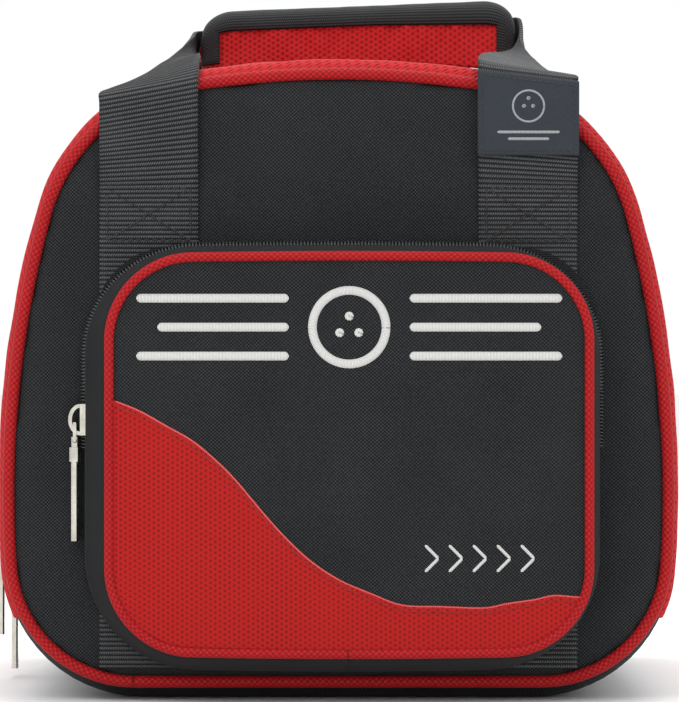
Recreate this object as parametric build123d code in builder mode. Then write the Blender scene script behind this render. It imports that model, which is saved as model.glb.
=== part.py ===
"""Bowling ball bag: a padded single-ball tote that opens like a clam along a zip over its crown.

Millimetres. +X is the bag's right, -Y its front and +Z up. The origin is the middle of the flat base.
The front half hinges about the front bottom seam and the rear half about the rear bottom seam.
"""

from build123d import *
from math import cos, hypot, radians, sin, sqrt
import os

os.makedirs("parts", exist_ok=True)

# ---- Driving dimensions -------------------------------------------------------------------------
# Bag outline at the piped seams, seen from the front
HALF_WIDTH = 127.3
WIDEST_Z = 80
SIDE_R = 410
TOP_Z = 241.8
TOP_R = 364
SEAM_Z = 7.4
CORNER_R = 48
SHOULDER_R = 68
SIDE_CENTRE_X = HALF_WIDTH - SIDE_R
# How far the gusset stands out of the seam line at the sides and at the crown
SIDE_PUFF = 4
CROWN_PUFF = 9.2

# Depths: the seams, the end of the puffed curve and the zip
SEAM_Y = 117
GUSSET_Y = 114.2
PUFF_Y = 100
GUSSET_ZIP_Y = 6
TAPE_GAP = 0.5
TAPE_Y = 14
PIPING_R = 2.4
PANEL_INSET = 3
PANEL_FACE_Y = 119
GUSSET_T = 2
FLOOR_T = 3
BASE_RIM_Z = 31
RIM_GAP = 0.5

# Main zip
ZIP_END_Z = 32
ZIP_OPEN_Z = 80
TAPE_END_Z = 72
TAPE_END_Y = 5.5
COIL_R = 1.0
COIL_Y = 1.5
TAPE_T = 1

# Webbing
WEB = 38
WEB_T = 1.7
WEB_X = 73
WEB_TOP_Z = 199
WEB_BOTTOM_Z = 13

# Front pocket
POCKET_X = 2.5
POCKET_W = 187
POCKET_LOW = 19
POCKET_HIGH = 172
POCKET_R = 27
POCKET_FLARE = 5
POCKET_BACK_Y = 121.1
POCKET_FACE_Y = 142
POCKET_FOLD_Z = 119
POCKET_PIPING_R = 2
POCKET_WALL = 1.6
POCKET_ZIP_END_Z = 97
SKIN = 1.2

# Handle
WRAP_LEFT = -56
WRAP_RIGHT = 72
WRAP_FRONT = -18
WRAP_BACK = 4
WRAP_LOW = 254.8
WRAP_HIGH = 277.4
WRAP_WALL = 4.4
BINDING = 7.5

# Ball the bag is made for
BALL_R = 109


def at_y(y):
    """Sketch plane facing the front at depth y; extrusions run towards the front."""
    return Plane.XZ.offset(-y)


def save(part, name):
    part.part.label = name
    export_step(part.part, f"parts/{name}.step")


# ---- Outlines -----------------------------------------------------------------------------------
def circles_meet(c1, r1, c2, r2):
    """Upper right crossing of two circles."""
    dx, dz = c2[0] - c1[0], c2[1] - c1[1]
    gap = hypot(dx, dz)
    along = (r1 * r1 - r2 * r2 + gap * gap) / (2 * gap)
    across = sqrt(r1 * r1 - along * along)
    ux, uz = dx / gap, dz / gap
    return max((c1[0] + along * ux - s * across * uz, c1[1] + along * uz + s * across * ux) for s in (1, -1))


def out_from(centre, through, radius):
    """Point at a radius from a centre, on the ray through another point."""
    dx, dz = through[0] - centre[0], through[1] - centre[1]
    gap = hypot(dx, dz)
    return centre[0] + dx * radius / gap, centre[1] + dz * radius / gap


def outline_points(side, crown, bottom):
    """Tangent points and arc centres of the right half, grown from the seam line."""
    side_c = (SIDE_CENTRE_X, WIDEST_Z)
    side_r = SIDE_R + side
    top_c = (0, TOP_Z - TOP_R)
    top_r = TOP_R + crown
    corner_r = CORNER_R + (side + bottom) / 2
    shoulder_r = SHOULDER_R + (side + crown) / 2
    low_z = SEAM_Z - bottom
    corner_z = low_z + corner_r
    corner_x = SIDE_CENTRE_X + sqrt((side_r - corner_r) ** 2 - (WIDEST_Z - corner_z) ** 2)
    corner_c = (corner_x, corner_z)
    shoulder_c = circles_meet(side_c, side_r - shoulder_r, top_c, top_r - shoulder_r)
    return [
        ((corner_x, low_z), corner_c, corner_r),
        (out_from(side_c, corner_c, side_r), side_c, side_r),
        (out_from(side_c, shoulder_c, side_r), shoulder_c, shoulder_r),
        (out_from(top_c, shoulder_c, top_r), top_c, top_r),
    ]


def arc(start, end, centre, radius):
    middle = ((start[0] + end[0]) / 2, (start[1] + end[1]) / 2)
    ThreePointArc(start, out_from(centre, middle, radius), end)


def flip(point):
    return -point[0], point[1]


def outline_edges(side, crown, bottom):
    """Draws the closed outline: base line, corners, sides, shoulders and crown."""
    right = outline_points(side, crown, bottom)
    points = [p for p, _, _ in right]
    Line(flip(points[0]), points[0])
    for start, end, (_, centre, radius) in zip(points, points[1:], right):
        arc(start, end, centre, radius)
    arc(points[3], flip(points[3]), right[3][1], right[3][2])
    for start, end, (_, centre, radius) in list(zip(points[1:], points, right))[::-1]:
        arc(flip(start), flip(end), flip(centre), radius)


def bag_face(y, side, crown, bottom):
    with BuildSketch(at_y(y)) as face:
        with BuildLine():
            outline_edges(side, crown, bottom)
        make_face()
    return face.sketch


def seam_face(y, grow=0):
    return bag_face(y, grow, grow, grow)


def full_face(y, grow=0):
    return bag_face(y, SIDE_PUFF + grow, CROWN_PUFF + grow, SEAM_Z + grow)


def front_block(inset, back_y):
    """Solid body of the bag from the front seam back to a depth, inset from the gusset's outside."""
    with BuildPart() as block:
        loft([seam_face(-GUSSET_Y, -inset), full_face(-PUFF_Y, -inset)], ruled=True)
        extrude(full_face(back_y, -inset), amount=back_y + PUFF_Y)
    return block.part


def zip_band(outer, inner, front_y, back_y):
    """Band that follows the gusset, between two insets and two depths."""
    with BuildPart() as band:
        extrude(full_face(back_y, -outer), amount=back_y - front_y)
        extrude(full_face(back_y, -inner), amount=back_y - front_y, mode=Mode.SUBTRACT)
    return band.part


def keep_above(z):
    with Locations((0, 0, z)):
        Box(400, 400, 400, align=(Align.CENTER, Align.CENTER, Align.MIN), mode=Mode.INTERSECT)


def cut_left_below(z):
    with Locations((-200, 0, z)):
        Box(300, 400, 400, align=(Align.CENTER, Align.CENTER, Align.MAX), mode=Mode.SUBTRACT)


# ---- Base: bottom panel, board, pad, ball cup ---------------------------------------------------
with BuildPart() as bottom_panel:
    add(front_block(0, 0))
    mirror(front_block(0, 0), about=Plane.XZ)
    add(front_block(FLOOR_T, 0), mode=Mode.SUBTRACT)
    mirror(front_block(FLOOR_T, 0), about=Plane.XZ, mode=Mode.SUBTRACT)
    with Locations((0, 0, BASE_RIM_Z)):
        Box(400, 400, 100, align=(Align.CENTER, Align.CENTER, Align.MAX), mode=Mode.INTERSECT)
save(bottom_panel, "bottom_panel")

BOARD_Z = FLOOR_T + 0.2
BOARD_T = 2
BOARD_W = 160
BOARD_D = 196
with BuildPart() as base_board:
    with BuildSketch(Plane.XY.offset(BOARD_Z)):
        RectangleRounded(BOARD_W, BOARD_D, 14)
    extrude(amount=BOARD_T)
save(base_board, "base_board")

PAD_Z = BOARD_Z + BOARD_T + 0.2
PAD_T = 5
with BuildPart() as base_pad:
    with BuildSketch(Plane.XY.offset(PAD_Z)):
        RectangleRounded(BOARD_W - 2, BOARD_D - 2, 14)
    extrude(amount=PAD_T)
    fillet(base_pad.edges().group_by(Axis.Z)[-1], radius=1.5)
save(base_pad, "base_pad")

CUP_Z = PAD_Z + PAD_T + 0.2
CUP_FLOOR = 4
CUP_H = 26
CUP_R = 74
CUP_HOLE_R = 22
BALL_Z = CUP_Z + CUP_FLOOR + BALL_R
with BuildPart() as ball_cup:
    with BuildSketch(Plane.XY.offset(CUP_Z)):
        Circle(CUP_R)
    extrude(amount=CUP_H)
    with Locations((0, 0, BALL_Z)):
        Sphere(BALL_R + 1, mode=Mode.SUBTRACT)
    with Locations((0, 0, CUP_Z)):
        Cylinder(CUP_HOLE_R, 40, mode=Mode.SUBTRACT)
save(ball_cup, "ball_cup")


TAB_Z = BASE_RIM_Z - 14
TAB_H = 13


def zip_end_tab(side):
    """Folded tab that closes one end of the main zip, sewn on the bottom panel's rim."""
    with BuildPart() as tab:
        add(zip_band(-1.4, -0.2, -11, 11))
        with Locations((side * HALF_WIDTH, 0, TAB_Z)):
            Box(60, 60, TAB_H, align=(Align.CENTER, Align.CENTER, Align.MIN), mode=Mode.INTERSECT)
    return tab


for side, name in ((-1, "zip_end_tab_left"), (1, "zip_end_tab_right")):
    save(zip_end_tab(side), name)


# ---- Front and rear panels ----------------------------------------------------------------------
def panel_layer(face_y, thickness, inset):
    with BuildPart() as layer:
        extrude(seam_face(thickness - face_y, -inset), amount=thickness)
    return layer


FOAM_T = 4.6
LINING_T = 0.8
panel_stack = (
    ("panel", PANEL_FACE_Y, SKIN, PANEL_INSET),
    ("foam", PANEL_FACE_Y - SKIN - 0.1, FOAM_T, PANEL_INSET + 0.4),
    ("lining", PANEL_FACE_Y - SKIN - FOAM_T - 0.2, LINING_T, PANEL_INSET + 0.4),
)
for layer_name, face_y, thickness, inset in panel_stack:
    front_layer = panel_layer(face_y, thickness, inset)
    save(front_layer, f"front_{layer_name}")
    with BuildPart() as rear_layer:
        mirror(front_layer.part, about=Plane.XZ)
    save(rear_layer, f"back_{layer_name}")

def tube_along(path, radius):
    """Round tube that follows a smooth wire."""
    with BuildPart() as tube:
        with BuildSketch(Plane(origin=path @ 0, z_dir=path % 0)):
            Circle(radius)
        sweep(path=path)
    return tube.part


with BuildPart() as front_piping:
    with BuildLine(at_y(-SEAM_Y)) as seam_line:
        outline_edges(0, 0, 0)
    add(tube_along(seam_line.wire(), PIPING_R))
save(front_piping, "front_piping")

with BuildPart() as rear_piping:
    mirror(front_piping.part, about=Plane.XZ)
save(rear_piping, "rear_piping")

# ---- Gussets, linings and the main zip ----------------------------------------------------------
with BuildPart() as front_gusset:
    add(front_block(0, -GUSSET_ZIP_Y))
    add(front_block(GUSSET_T, -GUSSET_ZIP_Y), mode=Mode.SUBTRACT)
    keep_above(BASE_RIM_Z + RIM_GAP)
save(front_gusset, "front_gusset")

with BuildPart() as rear_gusset:
    mirror(front_gusset.part, about=Plane.XZ)
save(rear_gusset, "rear_gusset")

LINING_IN = GUSSET_T + TAPE_T + 1
with BuildPart() as front_gusset_lining:
    add(zip_band(LINING_IN, LINING_IN + LINING_T, -PUFF_Y, -TAPE_Y - 1))
    keep_above(BASE_RIM_Z + RIM_GAP)
save(front_gusset_lining, "front_gusset_lining")

with BuildPart() as rear_gusset_lining:
    mirror(front_gusset_lining.part, about=Plane.XZ)
save(rear_gusset_lining, "rear_gusset_lining")

TAPE_IN = GUSSET_T + 0.2
with BuildPart() as whole_tape:
    add(zip_band(TAPE_IN, TAPE_IN + TAPE_T, -TAPE_Y, -TAPE_GAP))
    keep_above(ZIP_END_Z)

with BuildPart() as front_zip_tape:
    add(whole_tape.part)
    cut_left_below(ZIP_OPEN_Z)
save(front_zip_tape, "front_zip_tape")

with BuildPart() as rear_zip_tape:
    mirror(whole_tape.part, about=Plane.XZ)
save(rear_zip_tape, "rear_zip_tape")

COIL_IN = TAPE_IN - COIL_R - 0.1


def side_point(z, radius):
    return SIDE_CENTRE_X + sqrt(radius * radius - (z - WIDEST_Z) ** 2), z


def coil_line(y, left_z, right_z):
    """Middle line of the zip coil, up the left side, over the crown and down the right."""
    _, side, shoulder, top = outline_points(SIDE_PUFF - COIL_IN, CROWN_PUFF - COIL_IN, SEAM_Z - COIL_IN)
    side_r = side[2]
    left = flip(side_point(left_z, side_r))
    right = side_point(right_z, side_r)
    with BuildLine(at_y(y)) as line:
        arc(left, flip(shoulder[0]), flip(side[1]), side_r)
        arc(flip(shoulder[0]), flip(top[0]), flip(shoulder[1]), shoulder[2])
        arc(flip(top[0]), top[0], top[1], top[2])
        arc(top[0], shoulder[0], shoulder[1], shoulder[2])
        arc(shoulder[0], right, side[1], side_r)
    return line.wire()


with BuildPart() as front_zip_coil:
    add(tube_along(coil_line(-COIL_Y, ZIP_OPEN_Z, ZIP_END_Z), COIL_R))
save(front_zip_coil, "front_zip_coil")

with BuildPart() as rear_zip_coil:
    add(tube_along(coil_line(COIL_Y, ZIP_END_Z, ZIP_END_Z), COIL_R))
save(rear_zip_coil, "rear_zip_coil")

# The stretch under the parked sliders stays in them, with the rear half
with BuildPart() as front_tape_end:
    _, side, _, _ = outline_points(SIDE_PUFF - COIL_IN, CROWN_PUFF - COIL_IN, SEAM_Z - COIL_IN)
    with BuildLine(at_y(-COIL_Y)) as coil_end_line:
        arc(
            flip(side_point(ZIP_END_Z, side[2])),
            flip(side_point(TAPE_END_Z, side[2])),
            flip(side[1]),
            side[2],
        )
    add(zip_band(TAPE_IN, TAPE_IN + TAPE_T, -TAPE_END_Y, -TAPE_GAP))
    keep_above(ZIP_END_Z)
    with Locations((-HALF_WIDTH, 0, TAPE_END_Z)):
        Box(100, 100, 100, align=(Align.CENTER, Align.CENTER, Align.MAX), mode=Mode.INTERSECT)
    add(tube_along(coil_end_line.wire(), COIL_R))
save(front_tape_end, "front_tape_end")

# ---- Webbing sewn to the panels -----------------------------------------------------------------
WEB_FACE_Y = PANEL_FACE_Y + 0.1 + WEB_T
with BuildPart() as front_strap_legs:
    with BuildSketch(at_y(-PANEL_FACE_Y - 0.1)):
        with Locations((-WEB_X, WEB_BOTTOM_Z), (WEB_X, WEB_BOTTOM_Z)):
            Rectangle(WEB, WEB_TOP_Z - WEB_BOTTOM_Z, align=(Align.CENTER, Align.MIN))
    extrude(amount=WEB_T)
save(front_strap_legs, "front_strap_legs")

with BuildPart() as rear_strap_legs:
    mirror(front_strap_legs.part, about=Plane.XZ)
save(rear_strap_legs, "rear_strap_legs")

STITCH_W = 1
STITCH_T = 0.4
STITCH_BOX = 33
STITCH_DIAGONAL = 42
with BuildPart() as strap_stitching:
    with BuildSketch(at_y(-WEB_FACE_Y - 0.05)):
        with Locations((-WEB_X, WEB_TOP_Z - 1 - STITCH_BOX / 2), (WEB_X, WEB_TOP_Z - 1 - STITCH_BOX / 2)):
            Rectangle(STITCH_BOX, STITCH_BOX)
            Rectangle(STITCH_BOX - 2 * STITCH_W, STITCH_BOX - 2 * STITCH_W, mode=Mode.SUBTRACT)
            Rectangle(STITCH_DIAGONAL, STITCH_W, rotation=45)
            Rectangle(STITCH_DIAGONAL, STITCH_W, rotation=-45)
    extrude(amount=STITCH_T)
    keep_above(POCKET_HIGH + POCKET_FLARE + 1.5)
save(strap_stitching, "strap_stitching")


# ---- Front pocket -------------------------------------------------------------------------------
def pocket_face(y, grow):
    with BuildSketch(at_y(y)) as face:
        with Locations((POCKET_X, (POCKET_LOW + POCKET_HIGH) / 2)):
            RectangleRounded(POCKET_W + 2 * grow, POCKET_HIGH - POCKET_LOW + 2 * grow, POCKET_R + grow)
    return face.sketch


POCKET_GUSSET_Y = POCKET_FACE_Y - 3.6
TAPE_BACK_Y = POCKET_BACK_Y + 4.2
COIL_FIXED_Y = POCKET_BACK_Y + 0.9
COIL_FLAP_Y = COIL_FIXED_Y + 2
POCKET_COIL_R = 0.8


def pocket_wall(back_y):
    """Side walls of the pocket, from the piping back to a depth, flaring out towards the panel."""
    flare = POCKET_FLARE * (POCKET_GUSSET_Y - back_y) / (POCKET_GUSSET_Y - POCKET_BACK_Y)
    with BuildPart() as wall:
        loft([pocket_face(-back_y, flare), pocket_face(-POCKET_GUSSET_Y, 0)], ruled=True)
        loft(
            [pocket_face(-back_y, flare - POCKET_WALL), pocket_face(-POCKET_GUSSET_Y, -POCKET_WALL)],
            ruled=True,
            mode=Mode.SUBTRACT,
        )
    return wall.part


def keep_below_fold():
    with Locations((0, 0, POCKET_FOLD_Z - 0.3)):
        Box(400, 400, 400, align=(Align.CENTER, Align.CENTER, Align.MAX), mode=Mode.INTERSECT)


with BuildPart() as pocket_gusset:
    add(pocket_wall(POCKET_BACK_Y))
    keep_below_fold()
save(pocket_gusset, "pocket_gusset")

with BuildPart() as pocket_zip_tape_upper:
    add(pocket_wall(TAPE_BACK_Y))
    keep_above(POCKET_FOLD_Z + 0.3)
save(pocket_zip_tape_upper, "pocket_zip_tape_upper")

with BuildPart() as pocket_zip_tape_fixed:
    extrude(pocket_face(-POCKET_BACK_Y, POCKET_FLARE - POCKET_WALL - 0.4), amount=0.6)
    extrude(pocket_face(-POCKET_BACK_Y, POCKET_FLARE - 12), amount=0.6, mode=Mode.SUBTRACT)
    keep_above(POCKET_FOLD_Z + 0.3)
save(pocket_zip_tape_fixed, "pocket_zip_tape_fixed")


COIL_GROW = POCKET_FLARE + POCKET_COIL_R + 0.1
COIL_LEFT_X = POCKET_X - POCKET_W / 2 - COIL_GROW


def pocket_coil(y, left_z):
    """Coil of the pocket zip: up the left, over the top and down the right to the fold."""
    right = POCKET_X + POCKET_W / 2 + COIL_GROW
    left = COIL_LEFT_X
    top = POCKET_HIGH + COIL_GROW
    with BuildLine(at_y(y)) as line:
        FilletPolyline(
            (left, left_z),
            (left, top),
            (right, top),
            (right, POCKET_FOLD_Z + 0.3),
            radius=POCKET_R + COIL_GROW,
        )
    return tube_along(line.wire(), POCKET_COIL_R)


with BuildPart() as pocket_zip_coil_fixed:
    add(pocket_coil(-COIL_FIXED_Y, POCKET_ZIP_END_Z))
    with BuildSketch(Plane.XY.offset(POCKET_ZIP_END_Z)):
        with Locations((COIL_LEFT_X, -COIL_FLAP_Y)):
            Circle(POCKET_COIL_R)
    extrude(amount=POCKET_FOLD_Z - 0.3 - POCKET_ZIP_END_Z)
save(pocket_zip_coil_fixed, "pocket_zip_coil_fixed")

with BuildPart() as pocket_zip_coil_upper:
    add(pocket_coil(-COIL_FLAP_Y, POCKET_FOLD_Z + 0.3))
save(pocket_zip_coil_upper, "pocket_zip_coil_upper")

FACE_BACK_Y = POCKET_FACE_Y - SKIN - 1.2
FACE_INSET = 2 * POCKET_PIPING_R


def pocket_skin():
    with BuildPart() as skin:
        extrude(pocket_face(-FACE_BACK_Y, -FACE_INSET), amount=SKIN)
    return skin.part


with BuildPart() as pocket_face_upper:
    add(pocket_skin())
    keep_above(POCKET_FOLD_Z + 0.1)
save(pocket_face_upper, "pocket_face_upper")

with BuildPart() as pocket_face_lower:
    add(pocket_skin())
    with Locations((0, 0, POCKET_FOLD_Z - 0.1)):
        Box(400, 400, 400, align=(Align.CENTER, Align.CENTER, Align.MAX), mode=Mode.INTERSECT)
save(pocket_face_lower, "pocket_face_lower")

PIPING_Y = POCKET_FACE_Y - POCKET_PIPING_R + 0.4


def pocket_piping_half(low_z, high_z):
    """Piping round one half of the pocket's face, cut at the fold."""
    grow = -POCKET_PIPING_R
    half_w = POCKET_W / 2 + grow
    corner = POCKET_R + grow
    with BuildLine(at_y(-PIPING_Y)) as line:
        FilletPolyline(
            (POCKET_X - half_w, low_z),
            (POCKET_X - half_w, high_z),
            (POCKET_X + half_w, high_z),
            (POCKET_X + half_w, low_z),
            radius=corner,
        )
    return tube_along(line.wire(), POCKET_PIPING_R - 0.1)


with BuildPart() as pocket_piping_upper:
    add(pocket_piping_half(POCKET_FOLD_Z + 0.1, POCKET_HIGH - POCKET_PIPING_R))
save(pocket_piping_upper, "pocket_piping_upper")

with BuildPart() as pocket_piping_lower:
    add(pocket_piping_half(POCKET_FOLD_Z - 0.1, POCKET_LOW + POCKET_PIPING_R))
save(pocket_piping_lower, "pocket_piping_lower")

# Red wave sewn over the lower left of the pocket face: its upper edge falls to the right
ACCENT_T = 0.5
ACCENT_WAVE = ((-86, 116.5), (-62, 106), (-40, 86.5), (-19.5, 63), (8, 44.5), (44, 37.6), (90, 42))
with BuildPart() as pocket_accent:
    extrude(pocket_face(-FACE_BACK_Y - SKIN - 0.05, -FACE_INSET), amount=ACCENT_T)
    with BuildSketch(at_y(-FACE_BACK_Y)):
        with BuildLine():
            wave = Spline(*ACCENT_WAVE)
            Polyline(wave @ 1, (120, 42), (120, 0), (-120, 0), (-120, 116.5), wave @ 0)
        make_face()
    extrude(amount=8, mode=Mode.INTERSECT)
save(pocket_accent, "pocket_accent")

# Embroidery: a ring with three finger holes between rounded bars, and a small pair of chevrons
STITCHING = 3.3
EMBROIDERY_T = 0.7
EMBLEM_Z = 144
EMBLEM_R = 14
EMBLEM_BARS = ((-52, 11), (-48, 0), (-52, -11))
with BuildPart() as pocket_emblem:
    with BuildSketch(at_y(-FACE_BACK_Y - SKIN - 0.05)):
        with Locations((POCKET_X, EMBLEM_Z)):
            Circle(EMBLEM_R)
            Circle(EMBLEM_R - STITCHING, mode=Mode.SUBTRACT)
        with Locations((POCKET_X, EMBLEM_Z - 2)):
            with PolarLocations(4.2, 3, start_angle=90):
                Circle(1.7)
        for side in (-1, 1):
            for (near, rise), length in zip(EMBLEM_BARS, (58, 50, 58)):
                with Locations((POCKET_X + side * near, EMBLEM_Z + rise)):
                    SlotOverall(length, STITCHING)
    extrude(amount=EMBROIDERY_T)
save(pocket_emblem, "pocket_emblem")

BADGE_X = 54
BADGE_Z = 56
BADGE_STITCH = 1.1
with BuildPart() as pocket_badge:
    with BuildSketch(at_y(-FACE_BACK_Y - SKIN - 0.05)):
        for step in range(-2, 3):
            for turn in (-1, 1):
                with Locations((BADGE_X + step * 9, BADGE_Z + turn * 2.6)):
                    SlotOverall(9, BADGE_STITCH, rotation=turn * -40)
    extrude(amount=0.5)
save(pocket_badge, "pocket_badge")


# ---- Carrying handles ---------------------------------------------------------------------------
def web_section(inner, outer, normal):
    """Rectangular cut across the webbing, from its inner edge to its outer edge."""
    start, across = Vector(*inner), Vector(*outer) - Vector(*inner)
    with BuildSketch(Plane(origin=start, x_dir=across, z_dir=across.cross(Vector(*normal)))) as section:
        Rectangle(across.length, WEB_T, align=(Align.MIN, Align.CENTER))
    return section.sketch


HANDLE_Y = PANEL_FACE_Y + 3.8
LEG_BOTTOM_Z = WEB_TOP_Z + 1.5
FOLD_IN_Z = 243
FOLD_OUT_Z = 234.5
CREST_Y = 97
CREST_IN_Z = 251.5
CREST_OUT_Z = 243.6
TWIST_Y = 50
TWIST_IN_Z = 256
TWIST_OUT_Z = 269
TWIST_SPREAD = 14
INNER_X = WEB_X - WEB / 2
OUTER_X = WEB_X + WEB / 2
GRIP_LOW = WRAP_LOW + WRAP_WALL + 0.8
GRIP_HIGH = WRAP_HIGH - WRAP_WALL - 2.2


def web_leg(side, grip_x, grip_y):
    """Webbing from the stitched panel up, back over the crown and turned on edge at the grip's end."""
    twist_x = max(abs(grip_x) + 2, INNER_X + 6)
    turned_x = twist_x + TWIST_SPREAD
    return [
        web_section((side * INNER_X, -HANDLE_Y, LEG_BOTTOM_Z), (side * OUTER_X, -HANDLE_Y, LEG_BOTTOM_Z), (0, -1, 0)),
        web_section((side * INNER_X, -HANDLE_Y, FOLD_IN_Z), (side * OUTER_X, -HANDLE_Y, FOLD_OUT_Z), (0, -1, 0.8)),
        web_section((side * INNER_X, -CREST_Y, CREST_IN_Z), (side * OUTER_X, -CREST_Y, CREST_OUT_Z), (0, 0, 1)),
        web_section((side * twist_x, -TWIST_Y, TWIST_IN_Z), (side * turned_x, -TWIST_Y, TWIST_OUT_Z), (0, -1, 1)),
        web_section((grip_x, grip_y, GRIP_LOW), (grip_x, grip_y, GRIP_HIGH), (0, -1, 0)),
    ]


def strap_loop(left_x, right_x, grip_y):
    left = web_leg(-1, left_x, grip_y)
    right = web_leg(1, right_x, grip_y)
    with BuildPart() as loop:
        loft(left, ruled=True)
        loft(right, ruled=True)
        loft([left[-1], right[-1]], ruled=True)
    return loop.part


WRAP_MID_Y = (WRAP_FRONT + WRAP_WALL + WRAP_BACK - WRAP_WALL) / 2
with BuildPart() as front_strap_loop:
    add(strap_loop(WRAP_LEFT - 2, WRAP_RIGHT + 2, WRAP_MID_Y))
save(front_strap_loop, "front_strap_loop")

REAR_GRIP_Y = 8
with BuildPart() as rear_strap_loop:
    mirror(strap_loop(WRAP_LEFT - 2, WRAP_RIGHT + 2, -REAR_GRIP_Y), about=Plane.XZ)
save(rear_strap_loop, "rear_strap_loop")

WRAP_LENGTH = WRAP_RIGHT - WRAP_LEFT
WRAP_HEIGHT = WRAP_HIGH - WRAP_LOW
WRAP_X = (WRAP_LEFT + WRAP_RIGHT) / 2
WRAP_Z = (WRAP_LOW + WRAP_HIGH) / 2
WRAP_R = 7
REAR_WALL_TOP = WRAP_HIGH - WRAP_WALL - 1.6
SEAM_GAP = 0.35


def wrap_pad(profile):
    """Padded wall of the grip, from its cross-section, with rounded ends."""
    with BuildPart() as pad:
        with BuildSketch(Plane.YZ.offset(WRAP_LEFT)):
            with BuildLine():
                Polyline(*profile, close=True)
            make_face()
        extrude(amount=WRAP_LENGTH)
        with BuildSketch(at_y(WRAP_BACK)):
            with Locations((WRAP_X, WRAP_Z)):
                RectangleRounded(WRAP_LENGTH, WRAP_HEIGHT, WRAP_R)
        extrude(amount=WRAP_BACK - WRAP_FRONT, mode=Mode.INTERSECT)
    return pad


WALL_FRONT_Y = WRAP_FRONT + WRAP_WALL
WALL_BACK_Y = WRAP_BACK - WRAP_WALL
handle_wrap = wrap_pad(
    (
        (WALL_FRONT_Y + SEAM_GAP, WRAP_LOW),
        (WRAP_BACK, WRAP_LOW),
        (WRAP_BACK, REAR_WALL_TOP),
        (WALL_BACK_Y, REAR_WALL_TOP),
        (WALL_BACK_Y, WRAP_LOW + WRAP_WALL),
        (WALL_FRONT_Y + SEAM_GAP, WRAP_LOW + WRAP_WALL),
    )
)
save(handle_wrap, "handle_wrap")

wrap_flap = wrap_pad(
    (
        (WRAP_FRONT, WRAP_LOW + SEAM_GAP),
        (WALL_FRONT_Y, WRAP_LOW + SEAM_GAP),
        (WALL_FRONT_Y, WRAP_HIGH - WRAP_WALL),
        (WRAP_BACK, WRAP_HIGH - WRAP_WALL),
        (WRAP_BACK, WRAP_HIGH),
        (WRAP_FRONT, WRAP_HIGH),
    )
)
save(wrap_flap, "wrap_flap")


def binding_tape(y, top_z):
    """Tape round the two ends and the top edge of one padded wall."""
    with BuildPart() as tape:
        with BuildSketch(at_y(y)):
            with Locations((WRAP_X, WRAP_Z)):
                RectangleRounded(WRAP_LENGTH, WRAP_HEIGHT, WRAP_R)
            with Locations((WRAP_X, WRAP_LOW)):
                Rectangle(WRAP_LENGTH - 2 * BINDING, 2 * (top_z - BINDING - WRAP_LOW), mode=Mode.SUBTRACT)
            with Locations((WRAP_X, WRAP_LOW)):
                Rectangle(WRAP_LENGTH, 2 * (top_z - WRAP_LOW), mode=Mode.INTERSECT)
        extrude(amount=0.8)
    return tape


save(binding_tape(WRAP_FRONT - 0.05, WRAP_HIGH), "wrap_flap_binding")
save(binding_tape(WRAP_BACK + 0.85, REAR_WALL_TOP), "wrap_binding")


def closure_patch(low_z):
    """Strip of hook or loop tape along the grip's closing edge."""
    with BuildPart() as patch:
        with BuildSketch(Plane.XY.offset(low_z)):
            with Locations((WRAP_X, (WALL_BACK_Y + WRAP_BACK) / 2)):
                Rectangle(WRAP_LENGTH - 4 * BINDING, WRAP_WALL - 0.8)
        extrude(amount=0.5)
    return patch


save(closure_patch(REAR_WALL_TOP + 0.1), "wrap_loop_patch")
save(closure_patch(WRAP_HIGH - WRAP_WALL - 0.6), "wrap_hook_patch")

LABEL_LOW = 210
with BuildPart() as label_patch:
    with BuildSketch(at_y(-HANDLE_Y - WEB_T / 2 - 0.2)):
        with BuildLine():
            Polyline(
                (INNER_X - 0.5, LABEL_LOW),
                (OUTER_X + 0.5, LABEL_LOW),
                (OUTER_X + 0.5, FOLD_OUT_Z - 1),
                (INNER_X - 0.5, FOLD_IN_Z - 1),
                close=True,
            )
        make_face()
    extrude(amount=0.9)
save(label_patch, "label_patch")

# ---- Zip sliders and their pulls ----------------------------------------------------------------
SLIDER_HALF = 6
PIVOT_DOWN = 1.5
PIVOT_OUT = 2.1
PLATE_T = 1.2
ARCH_LONG = 6
ARCH_OUT = 4.6
ARCH_T = 1.4
LINK_LENGTH = 6.6
LINK_PIN_R = 0.6
LINK_IN = 1.6
LINK_OUT = 2.6
HEAD_LENGTH = 5.5
BAR_LENGTH = 30.5
BAR_W = 5.2
BAR_T = 2.6
HEAD_T = 4
HEAD_DROP = 2.5
EYE_UP = 1.5


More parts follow.
